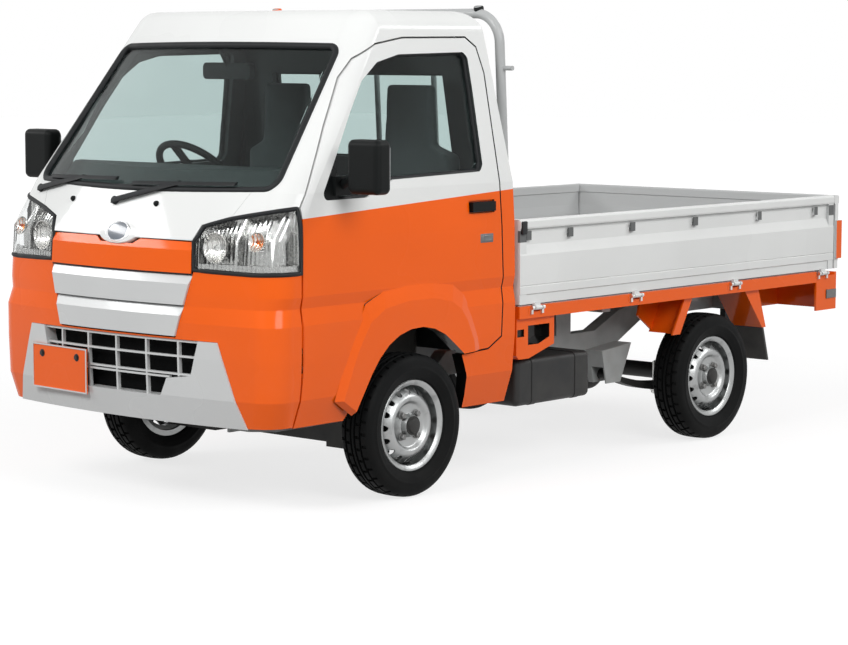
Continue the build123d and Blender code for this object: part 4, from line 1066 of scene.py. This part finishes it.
class TRUCK_OT_seats(bpy.types.Operator):
    """Models the two seats as stuffed cushions and backs with headrests"""

    bl_idname = "truck.seats"
    bl_label = "Seats"

    def execute(self, context):
        cap = context.scene.truck_trim.cushion_cap
        for side, sign in SIDES:
            cushion = self.cushion(sign)
            puff(cushion, cap)
            hand_over(cushion, "seat_cushion_" + side, "seat_cloth")
            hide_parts("seat_cushions")
            back = self.back(sign)
            puff(back, cap * BACK_SWELL_SHARE)
            hand_over(back, "seat_back_" + side, "seat_cloth")
            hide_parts("seat_backs")
        return {"FINISHED"}

    def cushion(self, sign):
        """Cushion with a waterfall front edge and a hollow along its middle."""
        obj = block(at(SEAT_ACROSS, 0.110, 0.757, sign), CUSHION_SIZE, 0)
        edit(obj, action="SELECT")
        bpy.ops.mesh.subdivide(number_cuts=5)
        pick_faces(obj, lambda c, n: n.z > 0.9 and c.y < FRONT_AXLE - 0.08)
        bpy.ops.transform.translate(value=(0, 0, -0.014))
        pick_faces(obj, lambda c, n: n.z > 0.9 and abs(c.x - SEAT_ACROSS * sign) < 0.12)
        bpy.ops.transform.translate(value=(0, 0, -0.008))
        leave()
        return obj

    def back(self, sign):
        """Back with a narrower headrest drawn up from it."""
        obj = block(at(SEAT_ACROSS, 0.430, 0.975, sign), BACK_SIZE, 0)
        edit(obj)
        pick_faces(obj, lambda c, n: n.z > 0.9)
        for move, shrink, level in (((0, -0.018, 0.045), (0.62, 0.62, 1.0), 1.28),
                                    ((0, 0, 0.235), (0.86, 0.75, 1.0), 1.515)):
            bpy.ops.mesh.extrude_region_move(TRANSFORM_OT_translate={"value": move})
            bpy.ops.transform.resize(value=shrink, center_override=at(SEAT_ACROSS, 0.412, level, sign))
        bpy.ops.mesh.select_all(action="SELECT")
        bpy.ops.mesh.subdivide(number_cuts=4)
        leave()
        return obj


class TRUCK_OT_seams(bpy.types.Operator):
    """Lays the dark seam round the strip between the headlamps"""

    bl_idname = "truck.seams"
    bl_label = "Panel seams"

    def execute(self, context):
        front = lambda c, n: n.y < -0.3 and abs(n.z) < 0.8
        rubber_round("nose_strip", front, 0.004, "nose_strip_seam", sink=0.007)
        return {"FINISHED"}


# Badge pieces: name, section (along, radius), finish, stretch across
BADGE = [
    ("badge_collar", [(-0.012, 0.0), (-0.012, 0.0455), (-0.001, 0.0455), (0.0025, 0.0435), (0.0035, 0.040),
                      (0.0035, 0.0)], "cab_white_paint", 2.25),
    ("blank_badge", [(-0.010, 0.0), (-0.010, 0.040), (0.003, 0.041), (0.008, 0.0385), (0.0085, 0.035),
                     (0.004, 0.032), (0.003, 0.0)], "chrome", 1.6),
    ("badge_field", [(0.002, 0.0), (0.002, 0.0322), (0.0046, 0.0322), (0.0062, 0.020), (0.0068, 0.0)],
     "badge_enamel", 1.6),
]
BADGE_LEVEL = 0.998
BADGE_DROP = 0.010
# Washer jets: across, level
WASHER_JETS = [(-0.312, 1.090), (0.155, 1.091)]
JET_SECTION = [(-0.006, 0.0), (-0.006, 0.011), (0.002, 0.011), (0.009, 0.008), (0.012, 0.004), (0.012, 0.0)]
PLATE_BOLTS = [-0.416, -0.206]
PLATE_BOLT_LEVEL = 0.517
PLATE_WASHER = [(-0.001, 0.0), (-0.001, 0.014), (0.001, 0.014), (0.0018, 0.012), (0.0018, 0.0)]
PLATE_RIM_WIDTH = 0.005
PLATE_RIM_HEIGHT = 0.0025


class TRUCK_OT_nose_fittings(bpy.types.Operator):
    """Adds the blank oval badge, the washer nozzles, and the bolts and rim of the blank number plate"""

    bl_idname = "truck.nose_fittings"
    bl_label = "Nose fittings"

    def execute(self, context):
        spot, normal = on_node("nose_panel", 0.0, BADGE_LEVEL)
        for name, section, finish, stretch in BADGE:
            piece = turned(section, (0, 0, 0), (0, 0, 1), 48)
            piece.scale = (stretch, 1, 1)
            settle(piece)
            piece.rotation_euler = normal.to_track_quat("Z", "Y").to_euler()
            piece.location = spot - Vector((0, 0, BADGE_DROP))
            hand_over(piece, name, finish)
        jets = [turned(JET_SECTION, *on_node("nose_panel", x, z), 20) for x, z in WASHER_JETS]
        hand_over(merged(jets), "washer_jets", "black_plastic")
        bolts = []
        for x in PLATE_BOLTS:
            spot, normal = on_node("number_plate", x, PLATE_BOLT_LEVEL)
            bolts += [stud(spot, normal, 0.010, 0.006), turned(PLATE_WASHER, spot, normal, 20)]
        hand_over(merged(bolts), "plate_bolts", "black_metal")
        rim = shell_of("number_plate", lambda c, n: n.y < -0.9, "plate_rim")
        edit(rim, action="SELECT")
        bpy.ops.mesh.inset(thickness=PLATE_RIM_WIDTH, depth=0)
        bpy.ops.mesh.delete(type="FACE")
        leave()
        modify(rim, "SOLIDIFY", thickness=PLATE_RIM_HEIGHT, offset=1)
        hand_over(rim, "plate_rim", "silver_paint")
        return {"FINISHED"}


class TRUCK_OT_door_fittings(bpy.types.Operator):
    """Adds the mirror glasses and the door locks"""

    bl_idname = "truck.door_fittings"
    bl_label = "Door fittings"

    def execute(self, context):
        for side, sign in SIDES:
            body = "door_%s_body" % side
            glass = block(at(0.868, -0.368, 1.232, sign), (0.122, 0.004, 0.162), 0)
            edit(glass)
            pick_faces(glass, lambda c, n: n.y > 0.9)
            bpy.ops.mesh.inset(thickness=0.004, depth=0.0015)
            pick_edges(glass, lambda e: abs((e.verts[0].co - e.verts[1].co).normalized().y) > 0.9)
            bpy.ops.mesh.bevel(offset=0.016, segments=5, affect="EDGES")
            leave()
            smooth(glass)
            hand_over(glass, "mirror_glass_" + side, "mirror_silver", body)
            lock = block(at(0.7275, 0.396, 0.9345, sign), (0.012, 0.064, 0.026), 0.0055)
            bezel = block(at(0.7255, 0.396, 0.9345, sign), (0.008, 0.074, 0.034), 0.0035)
            face = at(0.7335, 0.396, 0.9345, sign)
            recess(lock, lambda c, n: n.x * sign > 0.95 and (c - face).length < 0.02, 0.004, -0.002)
            hand_over(merged([lock, bezel]), "door_lock_" + side, "cast_metal", body)
        return {"FINISHED"}


# Planes that bound a door trim: point, normal
TRIM_CUTS = [(at(0, 0, 0.730), (0, 0, -1)), (at(0, 0, 1.070), (0, 0, 1)),
             (at(0, -0.46, 0), (0, -1, 0)), (at(0, 0.42, 0), (0, 1, 0))]


class TRUCK_OT_door_trims(bpy.types.Operator):
    """Lines the doors inside and adds the arm rest, the door pull and the window crank"""

    bl_idname = "truck.door_trims"
    bl_label = "Door trims"

    def execute(self, context):
        for side, sign in SIDES:
            body = "door_%s_body" % side
            inside = lambda c, n: n.x * sign < -0.8 and abs(c.x) > 0.60
            panel = strip_of("door_" + side, inside, TRIM_CUTS, -0.007, 0.006, "trim")
            hand_over(panel, "door_trim_" + side, "dash_plastic", body=body)
            rest = block(at(0.652, 0.16, 0.905, sign), (0.045, 0.260, 0.045), 0.014)
            grip = at(0.667, 0.02, 0.985, sign)
            pull = block(grip, (0.014, 0.090, 0.030), 0.006)
            recess(pull, lambda c, n: n.x * sign < -0.95 and abs(c.y - grip.y) < 0.03, 0.005, -0.005)
            hand_over(merged([rest, pull]), "arm_rest_" + side, "black_plastic", body=body)
            hub, elbow = at(0.650, -0.10, 0.86, sign), at(0.650, -0.03, 0.80, sign)
            out = Vector((sign, 0, 0))
            crank = [bar(hub + out * 0.022, hub - out * 0.006, 0.018, 24), bar(hub, elbow, 0.007),
                     bar(elbow + out * 0.004, elbow - out * 0.028, 0.011, 20)]
            hand_over(merged(crank), "window_crank_" + side, "black_plastic", body=body)
        return {"FINISHED"}


# Sections of the gear lever's boot and knob: along, radius
LEVER_BOOT = [(0.0, 0.0), (0.0, 0.060), (0.012, 0.058), (0.020, 0.044), (0.032, 0.046), (0.042, 0.034),
              (0.054, 0.034), (0.064, 0.022), (0.074, 0.012), (0.074, 0.0)]
LEVER_KNOB = [(-0.030, 0.0), (-0.030, 0.010), (-0.016, 0.017), (0.002, 0.023), (0.014, 0.021), (0.022, 0.012),
              (0.024, 0.0)]
# Pedals: across, width
PEDALS = [(-0.215, 0.050), (-0.315, 0.070), (-0.430, 0.050)]
PEDAL_TILT = 28
VISOR_TILT = -76
# Fittings on the dashboard's rear face: across, level, width, height
DASH_FITTINGS = [
    (0.000, 1.060, 0.190, 0.075),
    (-0.130, 1.130, 0.060, 0.045),
    (0.130, 1.130, 0.060, 0.045),
    (0.545, 1.120, 0.090, 0.055),
    (-0.545, 1.120, 0.090, 0.055),
]
# The dashboard's rear face: behind the front axle at a level, lean per metre of height
DASH_FACE, DASH_FACE_LEVEL, DASH_LEAN = -0.407, 1.17, 0.095


class TRUCK_OT_cab_fittings(bpy.types.Operator):
    """Adds the sun visors, the gear lever, the pedals and the dashboard's fittings"""

    bl_idname = "truck.cab_fittings"
    bl_label = "Cab fittings"

    def execute(self, context):
        for side, sign in SIDES:
            visor = block((0, 0, 0), (0.340, 0.018, 0.110), 0.007)
            visor.rotation_euler = (math.radians(VISOR_TILT), 0, 0)
            visor.location = at(0.355, -0.125, 1.690, sign)
            settle(visor)
            clip = bar(at(0.19, -0.180, 1.677, sign), at(0.52, -0.180, 1.677, sign), 0.005)
            hand_over(merged([visor, clip]), "sun_visor_" + side, "dash_plastic")
        foot, top = at(-0.140, -0.250, 0.700), at(-0.140, -0.205, 0.960)
        boot = turned(LEVER_BOOT, foot, top - foot, 32)
        knob = turned(LEVER_KNOB, top, top - foot, 24)
        hand_over(merged([boot, bar(foot, top, 0.007), knob]), "gear_lever", "black_plastic")
        pedals = []
        for x, wide in PEDALS:
            pad = block((0, 0, 0), (wide, 0.014, 0.060), 0.005)
            recess(pad, lambda c, n: n.y > 0.95 and abs(c.z) < 0.02 and abs(c.x) < wide * 0.3, 0.006, -0.002)
            pad.rotation_euler = (math.radians(PEDAL_TILT), 0, 0)
            pad.location = at(x, -0.500, 0.520)
            settle(pad)
            pedals += [pad, bar(at(x, -0.505, 0.525), at(x, -0.535, 0.770), 0.007)]
        hand_over(merged(pedals), "pedals", "black_metal")
        fittings = []
        for x, z, wide, tall in DASH_FITTINGS:
            face = at(x, DASH_FACE - (DASH_FACE_LEVEL - z) * DASH_LEAN, z)
            fittings.append(block(face, (wide, 0.014, tall), 0.004))
            for row in (-1, 0, 1):
                spot = face + Vector((0, 0.006, row * tall * 0.26))
                fittings.append(block(spot, (wide * 0.86, 0.008, tall * 0.07), 0.0012, 2))
        hand_over(merged(fittings), "dash_fittings", "black_plastic")
        return {"FINISHED"}


class TRUCK_OT_wiper_arms(bpy.types.Operator):
    """Gives the wiper arms and blades their full round section"""

    bl_idname = "truck.wiper_arms"
    bl_label = "Wiper arms"

    def execute(self, context):
        arms = shell_of("wipers", lambda c, n: True, "wiper_arms")
        modify(arms, "DISPLACE", strength=0.0025, mid_level=0.0)
        modify(arms, "BEVEL", width=0.0015, segments=2, limit_method="ANGLE")
        smooth(arms, 50)
        hand_over(arms, "wiper_arms", "window_rubber")
        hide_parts("wipers")
        return {"FINISHED"}


# Tank straps: place behind the front axle
STRAPS = (0.730, 1.000)
STRAP_HALF = 0.016
TANK_SIDE = 0.46
# Spring clamps: place across, level of the plate, bolts off the middle across and along
SPRING_ACROSS = 0.470
CLAMP_PLATE_LEVEL = 0.192
CLAMP_BOLTS = [(dx, dy) for dx in (-0.034, 0.034) for dy in (-0.042, 0.042)]
CLAMP_BOLT_RADIUS = 0.006


class TRUCK_OT_underbody(bpy.types.Operator):
    """Adds the tank straps and the clamps that hold the rear axle to its springs"""

    bl_idname = "truck.underbody"
    bl_label = "Underbody"

    def execute(self, context):
        straps = []
        for y in STRAPS:
            cuts = [(at(0, y - STRAP_HALF, 0), (0, -1, 0)), (at(0, y + STRAP_HALF, 0), (0, 1, 0))]
            straps.append(strip_of("fuel_tank", lambda c, n: c.x > TANK_SIDE, cuts, -0.002, 0.002, "strap"))
        hand_over(merged(straps), "tank_straps", "black_metal")
        clamps = []
        for _, sign in SIDES:
            x = SPRING_ACROSS * sign
            clamps.append(block((x, REAR_AXLE, CLAMP_PLATE_LEVEL), (0.090, 0.110, 0.012), 0.003))
            for dx, dy in CLAMP_BOLTS:
                foot = Vector((x + dx, REAR_AXLE + dy, 0.172))
                clamps.append(bar(foot, foot + Vector((0, 0, 0.140)), CLAMP_BOLT_RADIUS))
                clamps.append(stud(foot + Vector((0, 0, 0.004)), (0, 0, 1), 0.011, 0.009))
                bend, crown = foot + Vector((0, -dy * 0.1, 0.137)), Vector((x + dx, REAR_AXLE, 0.309))
                clamps.append(bar(bend, crown, CLAMP_BOLT_RADIUS))
        hand_over(merged(clamps), "spring_clamps", "hinge_steel")
        return {"FINISHED"}


# Section of a guard frame pad: along, radius
GUARD_PAD = [(-0.030, 0.0), (-0.030, 0.0195), (-0.006, 0.0195), (-0.001, 0.017), (0.0006, 0.012), (0.0008, 0.0)]
GUARD_PAD_FINISHES = ("black_plastic", "orange_paint")


class TRUCK_OT_bed_fittings(bpy.types.Operator):
    """Adds the guard frame's pads and the gate latches"""

    bl_idname = "truck.bed_fittings"
    bl_label = "Bed fittings"

    def execute(self, context):
        _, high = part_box("headboard")
        for (side, sign), finish in zip(SIDES, GUARD_PAD_FINISHES):
            pad = turned(GUARD_PAD, at(0.540, 0.565, high.z, sign), (0, -0.06, 1), 28)
            hand_over(pad, "guard_pad_" + side, finish)
            latch = block(at(BED_HALF + 0.003, 0.604, 0.962, sign), (0.014, 0.030, 0.050), 0.004)
            hand_over(latch, "gate_latch_" + side, "black_metal", body="gate_" + side)
        return {"FINISHED"}


# Studio lamps: name, place, size, power
STUDIO_LAMPS = [
    ("key_softbox", (6.0, -2.5, 3.8), (3.0, 3.0), 200.0),
    ("front_softbox", (0.8, -7.0, 5.2), (3.0, 2.0), 262.0),
    ("edge_strip_right", (-5.4, -5.2, 4.1), (4.0, 1.0), 130.0),
    ("edge_strip_rear", (4.4, 3.6, 4.3), (4.0, 1.0), 118.0),
]
LAMP_AIM = Vector((0, 0, 0.7))
WORLD_LIGHT = 0.28
STUDIO_WHITE = (1, 1, 1)
FLOOR_GREY = (0.25, 0.25, 0.25)
FLOOR_SIZE = 80
FLOOR_DROP = 0.0005
# The floor's glow grows from the first level to the second between these distances
FLOOR_FADE = (2.5, 7.0)
FLOOR_GLOW = (0.76, 0.90)
CAMERA_PLACE = (6.8205, -7.8733, 1.6388)
CAMERA_ANGLES = (41.433, -6.164, 0.065)
CAMERA_SENSOR = 36.0
CAMERA_LENS = 2531.7 / 848 * CAMERA_SENSOR


class TRUCK_OT_stage(bpy.types.Operator):
    """Sets the floor, the soft lights, the background and the camera"""

    bl_idname = "truck.stage"
    bl_label = "Stage"

    def execute(self, context):
        scene = context.scene
        scene.view_settings.view_transform = "Standard"
        clear_selection()
        bpy.ops.mesh.primitive_plane_add(size=FLOOR_SIZE, location=(0, 0, -FLOOR_DROP))
        floor = context.object
        floor.name = "studio_floor"
        tree, shader = new_finish(
            "studio_floor", Base_Color=FLOOR_GREY, Roughness=0.9, Emission_Color=STUDIO_WHITE)
        glow = span(tree, vectors(tree, "LENGTH", object_point(tree)), *FLOOR_FADE, *FLOOR_GLOW)
        wire(tree, shader, Emission_Strength=times(tree, background_rays(tree), glow))
        floor.data.materials.append(FINISHES["studio_floor"])
        self.world(scene)
        for row in STUDIO_LAMPS:
            self.lamp(scene, *row)
        self.camera(scene)
        return {"FINISHED"}

    def world(self, scene):
        """A soft light from all round, in front of a white background."""
        scene.world = bpy.data.worlds.new("studio")
        scene.world.use_nodes = True
        tree = scene.world.node_tree
        lit = tree.nodes["Background"]
        wire(tree, lit, Color=STUDIO_WHITE, Strength=WORLD_LIGHT)
        shown = add(tree, "Background", {"Color": STUDIO_WHITE, "Strength": 1.0})
        mix = add(tree, "MixShader", {0: background_rays(tree), 1: lit.outputs[0], 2: shown.outputs[0]})
        wire(tree, tree.nodes["World Output"], Surface=mix.outputs[0])

    def lamp(self, scene, name, spot, size, power):
        data = bpy.data.lights.new(name, "AREA")
        data.shape = "RECTANGLE"
        data.size, data.size_y = size
        data.energy = power
        lamp = bpy.data.objects.new(name, data)
        scene.collection.objects.link(lamp)
        lamp.location = spot
        lamp.visible_camera = False
        lamp.rotation_euler = (LAMP_AIM - Vector(spot)).to_track_quat("-Z", "Y").to_euler()

    def camera(self, scene):
        data = bpy.data.cameras.new("photo_camera")
        data.sensor_width = CAMERA_SENSOR
        data.sensor_fit = "HORIZONTAL"
        data.lens = CAMERA_LENS
        data.clip_end = 200
        camera = bpy.data.objects.new("photo_camera", data)
        scene.collection.objects.link(camera)
        camera.location = CAMERA_PLACE
        yaw, pitch, roll = (math.radians(angle) for angle in CAMERA_ANGLES)
        look = Vector((-math.sin(yaw) * math.cos(pitch), math.cos(yaw) * math.cos(pitch), math.sin(pitch)))
        camera.rotation_mode = "QUATERNION"
        tilt = Matrix.Rotation(roll, 3, "Z").to_quaternion()
        camera.rotation_quaternion = look.to_track_quat("-Z", "Y") @ tilt
        scene.camera = camera


class TRUCK_PT_pieces(bpy.types.Panel):
    """Lists the truck's pieces and their settings"""

    bl_idname = "TRUCK_PT_pieces"
    bl_label = "Mini truck"
    bl_space_type = "VIEW_3D"
    bl_region_type = "UI"
    bl_category = "Truck"

    def draw(self, context):
        for name in TruckFinish.__annotations__:
            self.layout.prop(context.scene.truck_finish, name)
        for name in TruckTrim.__annotations__:
            self.layout.prop(context.scene.truck_trim, name)
        for operator in PIECES:
            self.layout.operator(operator.bl_idname)


PIECES = (
    TRUCK_OT_stage,
    TRUCK_OT_finishes,
    TRUCK_OT_tyres,
    TRUCK_OT_rims,
    TRUCK_OT_wheel_nuts,
    TRUCK_OT_window_rubbers,
    TRUCK_OT_headlamps,
    TRUCK_OT_seams,
    TRUCK_OT_nose_fittings,
    TRUCK_OT_door_fittings,
    TRUCK_OT_door_trims,
    TRUCK_OT_cab_fittings,
    TRUCK_OT_wiper_arms,
    TRUCK_OT_underbody,
    TRUCK_OT_bed_fittings,
    TRUCK_OT_seats,
)
CLASSES = (TruckFinish, TruckTrim, TRUCK_PT_pieces) + PIECES


def register():
    for cls in CLASSES:
        bpy.utils.register_class(cls)
    bpy.types.Scene.truck_finish = bpy.props.PointerProperty(type=TruckFinish)
    bpy.types.Scene.truck_trim = bpy.props.PointerProperty(type=TruckTrim)


def unregister():
    del bpy.types.Scene.truck_finish
    del bpy.types.Scene.truck_trim
    for cls in reversed(CLASSES):
        bpy.utils.unregister_class(cls)


def main():
    register()
    for operator in PIECES:
        group, name = operator.bl_idname.split(".")
        getattr(getattr(bpy.ops, group), name)()


if __name__ == "__main__":
    main()
